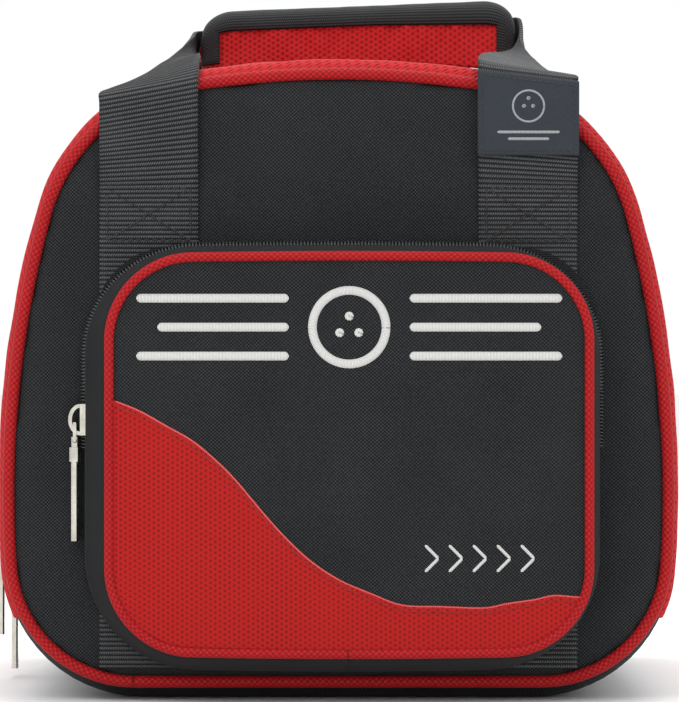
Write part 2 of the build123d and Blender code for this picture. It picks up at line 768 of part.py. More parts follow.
def slider_body(place, coil_r, coil_gap, plate_w, flange_drop, post, aside):
    """Slider on a zip: x is up the zip and z out of it, both measured from the coils' middle line."""
    plate_low = coil_r + 0.3
    flange_y = coil_gap + 2 * coil_r + 0.35
    with BuildPart(place) as slider:
        with Locations((0, 0, plate_low)):
            Box(2 * SLIDER_HALF, plate_w, PLATE_T, align=(Align.CENTER, Align.CENTER, Align.MIN))
        with Locations((0, flange_y, -flange_drop), (0, -flange_y - 0.8, -flange_drop)):
            Box(2 * SLIDER_HALF, 0.8, flange_drop + plate_low, align=(Align.CENTER, Align.MIN, Align.MIN))
        if post:
            with Locations((0, 0, -coil_r - 1.4)):
                Box(1, 0.4, coil_r + 1.4 + plate_low, align=(Align.CENTER, Align.CENTER, Align.MIN))
                Box(2 * SLIDER_HALF, 2 * flange_y, PLATE_T, align=(Align.CENTER, Align.CENTER, Align.MAX))
        arch_base = place.offset(plate_low + PLATE_T)
        arch_origin = arch_base.origin + place.y_dir * aside
        arch_plane = Plane(origin=arch_origin, x_dir=place.x_dir, z_dir=-place.y_dir)
        with BuildSketch(arch_plane):
            Ellipse(ARCH_LONG, ARCH_OUT)
            Ellipse(ARCH_LONG - ARCH_T, ARCH_OUT - ARCH_T, mode=Mode.SUBTRACT)
            with Locations((0, -0.1)):
                Rectangle(20, 10, align=(Align.CENTER, Align.MIN), mode=Mode.INTERSECT)
        extrude(amount=1.2, both=True)
    return slider


def pivot_point(place, coil_r, aside):
    """Where the link hangs in the slider's arch."""
    out = coil_r + 0.3 + PLATE_T + PIVOT_OUT
    return place.origin - place.x_dir * PIVOT_DOWN + place.z_dir * out + place.y_dir * aside


def hanging(point, lean=0):
    """Plane at a point of the left side, x up and z to the left, its foot leaning out by an angle."""
    across, up = sin(radians(lean)), cos(radians(lean))
    return Plane(origin=point, x_dir=(across, 0, up), z_dir=(-up, 0, across))


def link_body(place):
    """Open link: a pin through the arch, two side bars and a lower pin for the pull."""
    with BuildPart(place) as link:
        with BuildSketch(Plane(origin=place.origin, x_dir=-place.z_dir, z_dir=(0, 1, 0))):
            with Locations((0, 0), (0, LINK_LENGTH)):
                Circle(LINK_PIN_R)
        extrude(amount=LINK_OUT, both=True)
        with Locations((0, LINK_IN, 0), (0, -LINK_OUT, 0)):
            Box(
                LINK_LENGTH,
                LINK_OUT - LINK_IN,
                2 * LINK_PIN_R,
                align=(Align.MAX, Align.MIN, Align.CENTER),
            )
    return link


def bevelled_bar(x, y, top_z, width, thickness, length, bevel):
    """Upright bar with its long edges bevelled, hanging down from a height."""
    with BuildPart() as bar:
        with BuildSketch(Plane.XY.offset(top_z)) as section:
            with Locations((x, y)):
                Rectangle(thickness, width)
            chamfer(section.vertices(), length=bevel)
        extrude(amount=-length)
    return bar.part


def pull_body(pin):
    """Pull: an eye on the link's lower pin, a faceted head and a bevelled bar."""
    head_z = pin.Z - HEAD_DROP
    with BuildPart() as pull:
        add(bevelled_bar(pin.X, pin.Y, head_z, BAR_W, HEAD_T, HEAD_LENGTH, 0.8))
        add(bevelled_bar(pin.X, pin.Y, head_z - HEAD_LENGTH, BAR_W, BAR_T, BAR_LENGTH, 0.6))
        add(bevelled_bar(pin.X, pin.Y, pin.Z + EYE_UP, 2 * LINK_IN - 0.8, BAR_T, EYE_UP + HEAD_DROP, 0.4))
        with BuildSketch(Plane(origin=pin, x_dir=(1, 0, 0), z_dir=(0, 1, 0))):
            Circle(LINK_PIN_R + 0.25)
        extrude(amount=LINK_OUT, both=True, mode=Mode.SUBTRACT)
    return pull


def main_slider_place(z):
    """Frame of a main slider on the left side arc."""
    radius = SIDE_R + SIDE_PUFF - COIL_IN
    x, _ = side_point(z, radius)
    out = Vector(-x - (-SIDE_CENTRE_X), 0, z - WIDEST_Z).normalized()
    return Plane(origin=(-x, 0, z), x_dir=(out.Z, 0, -out.X), z_dir=out)


def save_slider(name, place, lean, coil_r, coil_gap, plate_w, flange_drop, post, aside):
    """Writes a slider, its link and its pull, and prints where the link and the pull turn."""
    hang = hanging(pivot_point(place, coil_r, aside), lean)
    pin = hang.origin - hang.x_dir * LINK_LENGTH
    save(slider_body(place, coil_r, coil_gap, plate_w, flange_drop, post, aside), name)
    save(link_body(hang), f"{name}_link")
    save(pull_body(pin), f"{name}_pull")
    print(name, "link turns at", tuple(hang.origin), "pull turns at", tuple(pin))


# The two pulls hang side by side, each from an arch off the middle of its slider
MAIN_PLATE_W = 8.6
ARCH_ASIDE = 3.1
MAIN_SLIDERS = (("main_slider_lower", 50.5, 0, ARCH_ASIDE), ("main_slider_upper", 63.2, 41, -ARCH_ASIDE))
for name, z, lean, aside in MAIN_SLIDERS:
    save_slider(name, main_slider_place(z), lean, COIL_R, COIL_Y - COIL_R, MAIN_PLATE_W, 0.8, True, aside)

POCKET_SLIDER_Z = 108.5
pocket_place = hanging(Vector(COIL_LEFT_X, -(COIL_FIXED_Y + COIL_FLAP_Y) / 2, POCKET_SLIDER_Z))
pocket_gap = (COIL_FLAP_Y - COIL_FIXED_Y) / 2 - POCKET_COIL_R
save_slider("pocket_slider", pocket_place, 0, POCKET_COIL_R, pocket_gap, 7.2, 0.5, False, 0)
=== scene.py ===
from math import cos, dist, hypot, pi, radians, sin, sqrt

import bpy
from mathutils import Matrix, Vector, noise


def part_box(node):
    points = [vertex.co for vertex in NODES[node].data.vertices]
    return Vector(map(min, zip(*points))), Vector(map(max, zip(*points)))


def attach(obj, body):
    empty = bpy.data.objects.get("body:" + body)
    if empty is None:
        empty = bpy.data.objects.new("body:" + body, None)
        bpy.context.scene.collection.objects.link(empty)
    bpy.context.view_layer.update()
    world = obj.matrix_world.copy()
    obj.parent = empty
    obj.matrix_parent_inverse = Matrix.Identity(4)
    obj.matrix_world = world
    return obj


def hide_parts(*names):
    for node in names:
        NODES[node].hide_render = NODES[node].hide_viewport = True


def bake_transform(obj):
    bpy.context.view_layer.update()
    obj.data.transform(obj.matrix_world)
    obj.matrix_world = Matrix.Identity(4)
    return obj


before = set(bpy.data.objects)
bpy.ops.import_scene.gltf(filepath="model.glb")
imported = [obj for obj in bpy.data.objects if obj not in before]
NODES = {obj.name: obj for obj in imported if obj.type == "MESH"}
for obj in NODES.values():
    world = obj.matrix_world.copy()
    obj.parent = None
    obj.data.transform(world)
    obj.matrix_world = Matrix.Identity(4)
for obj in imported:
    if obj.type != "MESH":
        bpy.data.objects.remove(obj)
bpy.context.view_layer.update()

MM = 0.001

# ---- Places read from the frame, in millimetres ----


def box_mm(node):
    low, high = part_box(node)
    return low / MM, high / MM


PIPING_LOW, PIPING_HIGH = box_mm("front_piping")
PIPING_R = (PIPING_HIGH.y - PIPING_LOW.y) / 2
SEAM_Y = -(PIPING_HIGH.y + PIPING_LOW.y) / 2
HALF_WIDTH = PIPING_HIGH.x - PIPING_R
TOP_Z = PIPING_HIGH.z - PIPING_R
SEAM_Z = PIPING_LOW.z + PIPING_R
GUSSET_LOW, GUSSET_HIGH = box_mm("front_gusset")
SIDE_PUFF = GUSSET_HIGH.x - HALF_WIDTH
CROWN_PUFF = GUSSET_HIGH.z - TOP_Z
RIM_Z = GUSSET_LOW.z
ZIP_EDGE_Y = -GUSSET_HIGH.y
HALVES = ((-1, "front"), (1, "rear"))
# The outline's arcs, as in the design
WIDEST_Z = 80
SIDE_R = 410
TOP_R = 364
CORNER_R = 48
SHOULDER_R = 68
SIDE_CENTRE_X = HALF_WIDTH - SIDE_R


# ---- Outline of the bag ----
def circles_meet(c1, r1, c2, r2):
    dx, dz = c2[0] - c1[0], c2[1] - c1[1]
    gap = hypot(dx, dz)
    along = (r1 * r1 - r2 * r2 + gap * gap) / (2 * gap)
    across = sqrt(r1 * r1 - along * along)
    ux, uz = dx / gap, dz / gap
    return max((c1[0] + along * ux - s * across * uz, c1[1] + along * uz + s * across * ux) for s in (1, -1))


def out_from(centre, through, radius):
    dx, dz = through[0] - centre[0], through[1] - centre[1]
    gap = hypot(dx, dz)
    return centre[0] + dx * radius / gap, centre[1] + dz * radius / gap


def flip(point):
    return -point[0], point[1]


def arc_points(start, end, centre, radius, count):
    chord = [(start[0] + (end[0] - start[0]) * i / count, start[1] + (end[1] - start[1]) * i / count)
             for i in range(count)]
    return [out_from(centre, p, radius) for p in chord]


def outline(side, crown, bottom):
    """Closed outline in (x, z), counterclockwise from the bottom left, grown from the seam line."""
    side_c, side_r = (SIDE_CENTRE_X, WIDEST_Z), SIDE_R + side
    top_c, top_r = (0, TOP_Z - TOP_R), TOP_R + crown
    corner_r = CORNER_R + (side + bottom) / 2
    shoulder_r = SHOULDER_R + (side + crown) / 2
    low = SEAM_Z - bottom
    corner_z = low + corner_r
    corner_c = (SIDE_CENTRE_X + sqrt((side_r - corner_r) ** 2 - (WIDEST_Z - corner_z) ** 2), corner_z)
    shoulder_c = circles_meet(side_c, side_r - shoulder_r, top_c, top_r - shoulder_r)
    foot = (corner_c[0], low)
    hip = out_from(side_c, corner_c, side_r)
    armpit = out_from(side_c, shoulder_c, side_r)
    neck = out_from(top_c, shoulder_c, top_r)
    right = [(foot, hip, corner_c, corner_r, 16), (hip, armpit, side_c, side_r, 40),
             (armpit, neck, shoulder_c, shoulder_r, 24), (neck, flip(neck), top_c, top_r, 48)]
    points = [(flip(foot)[0] + 2 * foot[0] * i / 40, low) for i in range(40)]
    for start, end, centre, radius, count in right:
        points += arc_points(start, end, centre, radius, count)
    for start, end, centre, radius, count in right[2::-1]:
        points += arc_points(flip(end), flip(start), flip(centre), radius, count)
    return points


def lengths_along(points):
    lengths = [0.0]
    for a, b in zip(points, points[1:]):
        lengths.append(lengths[-1] + dist(a, b))
    return lengths


def evenly(points, lengths, count, parts):
    """The first count points that cut a polyline into equal parts."""
    out, k = [], 0
    for i in range(count):
        want = lengths[-1] * i / parts
        while k < len(points) - 2 and lengths[k + 1] < want:
            k += 1
        share = (want - lengths[k]) / max(lengths[k + 1] - lengths[k], 1e-9)
        out.append(tuple(a + (b - a) * share for a, b in zip(points[k], points[k + 1])))
    return out


def resample(points, count):
    """The same polyline with evenly spaced points."""
    return evenly(points, lengths_along(points), count, count - 1)


def part_of_outline(points, z, above, count):
    """The stretch of an outline above or below a height, running counterclockwise."""
    loop = points[20:] + points[:20]
    keep = []
    if not above:
        loop = points[120:] + points[:120]
    for a, b in zip(loop, loop[1:] + loop[:1]):
        inside_a, inside_b = (a[1] >= z) == above, (b[1] >= z) == above
        if inside_a:
            keep.append(a)
        if inside_a != inside_b:
            share = (z - a[1]) / (b[1] - a[1])
            keep.append((a[0] + (b[0] - a[0]) * share, z))
    return resample(keep, count)


# ---- Mesh helpers ----
def new_mesh(name, verts, faces, uvs=None, smooth=True):
    """A mesh object from points in millimetres and UVs in millimetres."""
    mesh = bpy.data.meshes.new(name)
    mesh.from_pydata([(x * MM, y * MM, z * MM) for x, y, z in verts], [], faces)
    if uvs:
        layer = mesh.uv_layers.new(name="UVMap")
        for loop in mesh.loops:
            layer.data[loop.index].uv = (uvs[loop.vertex_index][0] * MM, uvs[loop.vertex_index][1] * MM)
    mesh.update()
    if smooth:
        mesh.shade_smooth()
    obj = bpy.data.objects.new(name, mesh)
    bpy.context.scene.collection.objects.link(obj)
    return obj


def grid_faces(rows, cols, wrap_cols=False, wrap_rows=False):
    faces = []
    for r in range(rows if wrap_rows else rows - 1):
        for c in range(cols if wrap_cols else cols - 1):
            r2, c2 = (r + 1) % rows, (c + 1) % cols
            faces.append((r * cols + c, r * cols + c2, r2 * cols + c2, r2 * cols + c))
    return faces


def rough(point, size, seed=0.0):
    """Smooth noise from -1 to 1 at a point in millimetres."""
    return noise.noise(Vector((point[0] / size + seed, point[1] / size - seed, point[2] / size + 2 * seed)))


def thicken(obj, mm, offset=-1.0):
    modifier = obj.modifiers.new("thickness", "SOLIDIFY")
    modifier.thickness = mm * MM
    modifier.offset = offset
    return obj


def finish_piece(obj, body, material, replaces=()):
    obj.data.materials.append(material)
    if body:
        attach(obj, body)
    if replaces:
        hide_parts(*replaces)
    return obj


def finish_blended(obj, y, heights, material, replaced):
    """A piece baked where it stands, given its material and left without a body."""
    start, end = ((0, y * MM, z * MM) for z in heights)
    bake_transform(obj)
    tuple(start)
    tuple(end)
    finish_piece(obj, None, material, replaced)


def neighbours(path, i, closed):
    n = len(path)
    return (path[(i - 1) % n] if closed or i else path[0], path[(i + 1) % n] if closed or i < n - 1 else path[-1])


def frames_along(path, closed=False):
    """Tangent, side and up at each point of a path that lies near one plane y = constant."""
    out = []
    for i in range(len(path)):
        before, after = neighbours(path, i, closed)
        tangent = (Vector(after) - Vector(before)).normalized()
        depth = Vector((0, 1, 0))
        side = tangent.cross(depth).normalized()
        out.append((tangent, side, side.cross(tangent).normalized()))
    return out


def tube(name, path, radius, closed=False, sides=12, flat=1.0, bumps=0.0, pitch=2.0):
    """Round tube round a path; flat squeezes it along depth."""
    verts, uvs = [], []
    along = 0.0
    frames = frames_along(path, closed)
    for i, p in enumerate(path):
        if i:
            along += (Vector(p) - Vector(path[i - 1])).length
        _, side, up = frames[i]
        for k in range(sides):
            a = 2 * pi * k / sides
            r = radius * (1 + bumps * sin(2 * pi * along / pitch + a))
            verts.append(Vector(p) + side * (r * cos(a)) + up * (r * flat * sin(a)))
            uvs.append((along, a * radius))
    faces = grid_faces(len(path), sides, True, closed)
    if not closed:
        faces.append(tuple(range(sides))[::-1])
        faces.append(tuple(range((len(path) - 1) * sides, len(path) * sides)))
    return new_mesh(name, verts, faces, uvs)


def spaced(path, step, closed=False):
    """A 3-D path with points every step millimetres."""
    loop = list(path) + ([path[0]] if closed else [])
    lengths = lengths_along(loop)
    parts = max(2, round(lengths[-1] / step))
    return evenly(loop, lengths, parts if closed else parts + 1, parts)


def coil(name, path, radius, wire, pitch, hand):
    """Nylon zip coil: a monofilament helix round a path."""
    step = pitch / 8
    centre = spaced(path, step)
    frames = frames_along(centre)
    line = []
    for i, p in enumerate(centre):
        a = hand * 2 * pi * i / 8
        _, side, up = frames[i]
        line.append(tuple(Vector(p) + side * ((radius - wire) * cos(a)) + up * ((radius - wire) * sin(a))))
    verts, uvs = [], []
    for i, p in enumerate(line):
        tangent = (Vector(line[min(i + 1, len(line) - 1)]) - Vector(line[max(i - 1, 0)])).normalized()
        out = (Vector(p) - Vector(centre[i])).normalized()
        u = (out - tangent * out.dot(tangent)).normalized()
        v = tangent.cross(u)
        for k in range(5):
            a = 2 * pi * k / 5
            verts.append(Vector(p) + u * (wire * cos(a)) + v * (wire * sin(a)))
            uvs.append((i * step, k))
    return new_mesh(name, verts, grid_faces(len(line), 5, True), uvs)


# ---- Materials ----
class Nodes:
    """Small helper that writes shader nodes as expressions."""

    def __init__(self, name, roughness, metallic=0.0, sheen=0.0, specular=0.5):
        self.material = bpy.data.materials.new(name)
        self.material.use_nodes = True
        self.tree = self.material.node_tree
        self.bsdf = self.tree.nodes["Principled BSDF"]
        for socket, value in (("Roughness", roughness), ("Metallic", metallic), ("Specular IOR Level", specular)):
            self.bsdf.inputs[socket].default_value = value
        if sheen:
            self.bsdf.inputs["Sheen Weight"].default_value = sheen
            self.bsdf.inputs["Sheen Roughness"].default_value = 0.4

    def node(self, kind, **inputs):
        made = self.tree.nodes.new(kind)
        for key, value in inputs.items():
            self.put(made.inputs[key.replace("_", " ")], value)
        return made

    def put(self, socket, value):
        if isinstance(value, bpy.types.NodeSocket):
            self.tree.links.new(value, socket)
        else:
            socket.default_value = value

    def math(self, operation, a, b=0.0):
        made = self.tree.nodes.new("ShaderNodeMath")
        made.operation = operation
        self.put(made.inputs[0], a)
        self.put(made.inputs[1], b)
        return made.outputs[0]

    def coords(self, source, across, along):
        """Two coordinates in metres: UV, or two axes of the object's own space."""
        split = self.node("ShaderNodeSeparateXYZ", Vector=self.node("ShaderNodeTexCoord").outputs[source])
        return split.outputs[across], split.outputs[along]

    def wave(self, value, pitch_mm, phase=0.0):
        return self.math("SINE", self.math("ADD", self.math("MULTIPLY", value, 2 * pi / (pitch_mm * MM)), phase))

    def add(self, first, *others):
        for other in others:
            first = self.math("ADD", first, other)
        return first

    def share(self, value):
        """Turns a value from -1 to 1 into one from 0 to 1."""
        return self.math("MULTIPLY", self.add(value, 1.0), 0.5)

    def noise(self, scale, detail=3.0):
        made = self.node("ShaderNodeTexNoise", Vector=self.node("ShaderNodeTexCoord").outputs["Object"])
        made.inputs["Scale"].default_value = scale
        made.inputs["Detail"].default_value = detail
        return made.outputs["Fac"]

    def speckle(self, scale, amount, detail=3.0):
        """Noise round zero, of a given strength."""
        return self.math("MULTIPLY", self.math("SUBTRACT", self.noise(scale, detail), 0.5), amount)

    def ramp(self, value, low, high, at=(0.0, 1.0)):
        made = self.node("ShaderNodeValToRGB", Fac=value)
        made.color_ramp.elements[0].color = (*low, 1)
        made.color_ramp.elements[1].color = (*high, 1)
        made.color_ramp.elements[0].position, made.color_ramp.elements[1].position = at
        return made.outputs[0]

    def finish(self, colour, height=None, bump_mm=0.1, strength=1.0):
        self.put(self.bsdf.inputs["Base Color"], colour)
        if height is not None:
            bump = self.node("ShaderNodeBump", Height=height)
            bump.inputs["Distance"].default_value = bump_mm * MM
            bump.inputs["Strength"].default_value = strength
            self.put(self.bsdf.inputs["Normal"], bump.outputs[0])
        return self.material


def woven(name, low, high, pitch, source="UV", axes=(0, 1), roughness=0.75, sheen=0.03, bump=0.12):
    """Basket-woven polyester: bright threads in a checker whose cells run in diagonal rows, unevenly worn."""
    n = Nodes(name, roughness, sheen=sheen, specular=0.18)
    u, v = n.coords(source, *axes)
    threads = n.share(n.math("MULTIPLY", n.wave(u, pitch), n.wave(v, pitch * 0.9)))
    grain = n.speckle(1400.0, 0.5, 1.0)
    tone = n.add(threads, n.speckle(38.0, 0.25), grain)
    return n.finish(n.ramp(tone, low, high, (0.30, 1.0)), n.add(threads, grain), bump)


def honeycomb(name, low, high, pitch, source="UV", axes=(0, 1), bump=0.2):
    """Dobby-woven polyester: a smooth ground with rows of small dark sunk cells."""
    n = Nodes(name, 0.68, sheen=0.04, specular=0.2)
    u, v = n.coords(source, *axes)
    slant, half = n.math("MULTIPLY", v, 0.866), n.math("MULTIPLY", u, 0.5)
    directions = (u, n.add(half, slant), n.math("SUBTRACT", half, slant))
    cells = n.add(*(n.wave(direction, pitch, pi / 2) for direction in directions))
    cells = n.math("MULTIPLY", n.add(cells, 1.5), 0.222)
    tone = n.add(cells, n.speckle(900.0, 0.3, 1.0), n.speckle(30.0, 0.3))
    return n.finish(n.ramp(tone, high, low, (0.25, 0.95)), n.math("SUBTRACT", 1.0, cells), bump)


def ribbed(name, low, high, rib, twill, bump=0.25):
    """Webbing or tape: ribs across it, each of small twill beads."""
    n = Nodes(name, 0.6, sheen=0.03, specular=0.2)
    u, v = n.coords("UV", 0, 1)
    beads = n.share(n.wave(n.add(u, n.math("MULTIPLY", v, 0.5)), twill))
    both = n.math("MULTIPLY", n.share(n.wave(v, rib)), n.add(n.math("MULTIPLY", beads, 0.8), 0.2))
    tone = n.add(both, n.speckle(1200.0, 0.25, 1.0), n.speckle(45.0, 0.25))
    return n.finish(n.ramp(tone, low, high, (0.05, 0.9)), both, bump)


def satin(name, low, high, pitch):
    """Embroidery: parallel glossy threads laid across a stroke."""
    n = Nodes(name, 0.42, sheen=0.3, specular=0.5)
    threads = n.share(n.wave(n.coords("UV", 0, 1)[1], pitch))
    tone = n.add(threads, n.speckle(1500.0, 0.4, 1.0))
    return n.finish(n.ramp(tone, low, high, (0.0, 0.7)), threads, 0.12)


def metal(name, tone, metallic=1.0):
    """Plated metal, or nylon with the same unevenly polished surface."""
    n = Nodes(name, 0.24, metallic=metallic)
    worn = n.noise(220.0, 4.0)
    dull = tuple(0.72 * c for c in tone)
    n.put(n.bsdf.inputs["Roughness"], n.math("ADD", n.math("MULTIPLY", worn, 0.22), 0.14))
    return n.finish(n.ramp(worn, dull, tone, (0.3, 0.7)), n.noise(1200.0, 2.0), 0.02, 0.4)


def foam(name, low, high):
    n = Nodes(name, 0.9, sheen=0.1, specular=0.2)
    cells = n.noise(900.0, 2.0)
    return n.finish(n.ramp(n.math("ADD", cells, n.math("MULTIPLY", n.noise(40.0), 0.3)), low, high), cells, 0.2)


RIB_MM = 1.76
BLACK_CLOTH = woven("black_cloth", (0.003, 0.0035, 0.004), (0.034, 0.037, 0.040), 1.5)
BLACK_PANEL = woven("black_panel_cloth", (0.003, 0.0035, 0.004), (0.037, 0.040, 0.043), 1.5, "Object", (0, 2))
LINING = woven("lining_cloth", (0.004, 0.004, 0.005), (0.020, 0.020, 0.022), 0.8, "Object", (0, 2), 0.5, 0.05, 0.05)
RED_CLOTH = honeycomb("red_cloth", (0.22, 0.003, 0.004), (0.49, 0.011, 0.014), 1.9, bump=0.3)
RED_ACCENT = honeycomb("red_accent_cloth", (0.17, 0.002, 0.002), (0.39, 0.006, 0.005), 1.8, "Object", (0, 2), 0.12)
RED_PIPING = woven("red_piping_cloth", (0.25, 0.003, 0.004), (0.52, 0.011, 0.015), 2.4, roughness=0.6, bump=0.25)
WEBBING = ribbed("webbing", (0.003, 0.003, 0.0035), (0.11, 0.115, 0.12), RIB_MM, 0.9)
BINDING = ribbed("binding_tape", (0.004, 0.004, 0.005), (0.042, 0.045, 0.047), 1.0, 0.9, bump=0.15)
ZIP_TAPE = ribbed("zip_tape", (0.004, 0.004, 0.004), (0.016, 0.017, 0.018), 0.7, 0.7, bump=0.06)
ZIP_COIL = metal("zip_coil_nylon", (0.03, 0.031, 0.033), 0.0)
TAB = woven("tab_cloth", (0.005, 0.005, 0.006), (0.024, 0.025, 0.027), 0.9, "Object", (1, 2))
BLACK_WALL = woven("black_wall_cloth", (0.005, 0.0055, 0.006), (0.022, 0.024, 0.026), 1.0, bump=0.06)
THREAD = satin("black_thread", (0.004, 0.004, 0.004), (0.022, 0.023, 0.024), 0.5)
WHITE_THREAD = satin("white_thread", (0.42, 0.42, 0.41), (0.70, 0.70, 0.68), 0.55)
GREY_THREAD = satin("grey_thread", (0.16, 0.17, 0.18), (0.40, 0.41, 0.42), 0.5)
# Lighter red thread colour that paints the highlight on the wave's folded top edge
RED_FOLD_HIGHLIGHT = satin("red_fold_painted_highlight", (0.45, 0.03, 0.03), (0.70, 0.12, 0.11), 0.8)
RED_THREAD = satin("red_thread", (0.10, 0.001, 0.001), (0.32, 0.010, 0.010), 0.6)
LABEL = woven("label_cloth", (0.020, 0.024, 0.030), (0.045, 0.053, 0.066), 0.7, "Object", (0, 2), 0.6, 0.1, 0.04)
NICKEL = metal("nickel", (0.72, 0.69, 0.62))
FOAM = foam("foam", (0.02, 0.02, 0.02), (0.07, 0.07, 0.07))
HOOK = foam("hook_and_loop", (0.004, 0.004, 0.004), (0.03, 0.03, 0.03))
BOARD = foam("board", (0.02, 0.02, 0.02), (0.05, 0.05, 0.05))


# ---- Padded fabric by cloth simulation ----
def inflate(obj, voxel_mm, pressure, cap_mm):
    """Remeshes a closed pad, swells it with cloth simulation and caps how far any point moves."""
    remesh = obj.modifiers.new("remesh", "REMESH")
    remesh.mode = "VOXEL"
    remesh.voxel_size = voxel_mm * MM
    bake(obj)
    rest = [v.co.copy() for v in obj.data.vertices]
    cloth = obj.modifiers.new("cloth", "CLOTH")
    cloth.settings.use_pressure = True
    cloth.settings.uniform_pressure_force = pressure
    cloth.settings.effector_weights.gravity = 0
    cloth.settings.quality = 4
    cloth.point_cache.frame_start = 1
    cloth.point_cache.frame_end = 20
    for f in range(1, 21):
        bpy.context.scene.frame_set(f)
    bake(obj)
    bpy.context.scene.frame_set(1)
    for vertex, start in zip(obj.data.vertices, rest):
        move = vertex.co - start
        if move.length > cap_mm * MM:
            vertex.co = start + move.normalized() * cap_mm * MM
    subdivide(obj, 1)
    return obj


def bake(obj):
    """Replaces the mesh with its modified self."""
    graph = bpy.context.evaluated_depsgraph_get()
    mesh = bpy.data.meshes.new_from_object(obj.evaluated_get(graph))
    obj.modifiers.clear()
    obj.data = mesh


def subdivide(obj, levels):
    modifier = obj.modifiers.new("smooth", "SUBSURF")
    modifier.levels = modifier.render_levels = levels
    bake(obj)
    obj.data.shade_smooth()


def slab(name, points, front_y, back_y):
    """Closed slab between two depths with an outline in (x, z)."""
    n = len(points)
    verts = [(x, front_y, z) for x, z in points] + [(x, back_y, z) for x, z in points]
    faces = [tuple(range(n)), tuple(range(2 * n - 1, n - 1, -1))]
    faces += [(i, i + n, (i + 1) % n + n, (i + 1) % n) for i in range(n)]
    return new_mesh(name, verts, faces)


# ---- Panels ----
PANEL_T = 5.6


def padded_panel(side, name, body, replaced):
    """Outer fabric over foam; its edge dips to the piping. side is -1 at the front and 1 at the back."""
    front_y = SEAM_Y + 1.2
    ring = outline(-0.4, -0.4, -0.4)
    shape = resample(ring + ring[:1], 260)[:-1]
    pad = slab(name, shape, side * front_y, side * (front_y - PANEL_T))
    inflate(pad, 3, 4, 1.3)
    for vertex in pad.data.vertices:
        p = vertex.co / MM
        if side * p.y > front_y - 3:
            vertex.co.y += side * (0.35 * rough(p, 26, 3.1) + 0.18 * rough(p, 9, 7.7)) * MM
    finish_piece(pad, body, BLACK_PANEL, replaced)


def quilted_lining(side, name, body, node):
    """Inner lining of a panel, lightly quilted in a diamond pattern over the foam."""
    low, high = box_mm(node)
    inner_y = min(abs(low.y), abs(high.y))
    ring = outline(-3.4, -3.4, -3.4)
    rows, cols = 70, 70
    verts, uvs = [], []
    for r in range(rows):
        z = low.z + 0.2 + (high.z - low.z - 0.4) * r / (rows - 1)
        half = max((abs(a[0] + (b[0] - a[0]) * (z - a[1]) / (b[1] - a[1] or 1e-9))
                    for a, b in zip(ring, ring[1:] + ring[:1]) if min(a[1], b[1]) <= z <= max(a[1], b[1])), default=1)
        for c in range(cols):
            x = -half + 2 * half * c / (cols - 1)
            quilt = abs(sin(pi * (x + z) / 60)) * abs(sin(pi * (x - z) / 60))
            verts.append((x, side * (inner_y + 0.7 - 1.1 * sqrt(quilt)), z))
            uvs.append((x, z))
    lining = new_mesh(name, verts, grid_faces(rows, cols), uvs)
    thicken(lining, 0.6, 0.0)
    finish_piece(lining, body, LINING, (node,))


for side, half, body in ((-1, "front", "front_half"), (1, "back", "rear_half")):
    padded_panel(side, f"{half}_panel_pad", body, (f"{half}_panel", f"{half}_foam"))
    quilted_lining(side, f"{half}_lining_quilt", body, f"{half}_lining")

# ---- Piping round the panels ----
for side, half in HALVES:
    path = spaced([(x, side * SEAM_Y, z) for x, z in outline(0, 0, 0)], 1.2, closed=True)
    cord = tube(f"{half}_piping_cord", path, PIPING_R, closed=True, sides=14)
    finish_piece(cord, f"{half}_half", RED_PIPING, (f"{half}_piping",))


# ---- Gussets ----
# How the gusset leaves the seam: depth behind it in mm, share of the sides' puff, share of the crown's puff
ROLL = ((0.0, -0.5, -0.18), (1.3, 0.18, 0.10), (2.6, 0.75, 0.42), (4.4, 1.08, 0.62), (6.6, 1.16, 0.68),
        (9.0, 1.04, 0.62), (12.0, 0.86, 0.54), (16.0, 0.86, 0.60), (24.0, 0.93, 0.74), (36.0, 0.98, 0.88),
        (52.0, 1.0, 0.96), (70.0, 1.0, 1.0), (88.0, 1.0, 1.0), (100.0, 1.0, 1.0), (108.0, 1.0, 1.0))
ROLL_END = ROLL[-1][0]


def smooth_stations(stations, step):
    """The same curve through stations of numbers, with points about every step of the first number."""
    out = []
    for i in range(len(stations) - 1):
        p0, p1 = stations[max(i - 1, 0)], stations[i]
        p2, p3 = stations[i + 1], stations[min(i + 2, len(stations) - 1)]
        parts = max(1, round(abs(p2[0] - p1[0]) / step))
        for k in range(parts):
            t = k / parts
            out.append(tuple(
                0.5 * (2 * b + (c - a) * t + (2 * a - 5 * b + 4 * c - d) * t * t + (3 * b - a - 3 * c + d) * t ** 3)
                for a, b, c, d in zip(p0, p1, p2, p3)))
    return out + [stations[-1]]


def roll_stations(side, step):
    """The gusset's profile as stations of (y, side, crown, bottom), with each one's depth behind the seam."""
    for depth, a, b in smooth_stations(ROLL, step):
        y = SEAM_Y - depth * (SEAM_Y - ZIP_EDGE_Y) / ROLL_END
        yield depth, (side * y, SIDE_PUFF * a, CROWN_PUFF * b, SEAM_Z * min(1, max(0, a)))


def band(name, stations, z, above, cols, rumple=None):
    """Strip of fabric that follows the outline through stations of (y, side, crown, bottom)."""
    verts, uvs = [], []
    for row, (y, side, crown, bottom) in enumerate(stations):
        ring = part_of_outline(outline(side, crown, bottom), z, above, cols)
        along = 0.0
        for c, (x, height) in enumerate(ring):
            if c:
                along += hypot(x - ring[c - 1][0], height - ring[c - 1][1])
            dx, dz = rumple(row, x, y, height) if rumple else (0, 0)
            verts.append((x + dx, y, height + dz))
            uvs.append((along, abs(y) if rumple else y))
    return new_mesh(name, verts, grid_faces(len(stations), cols), uvs)


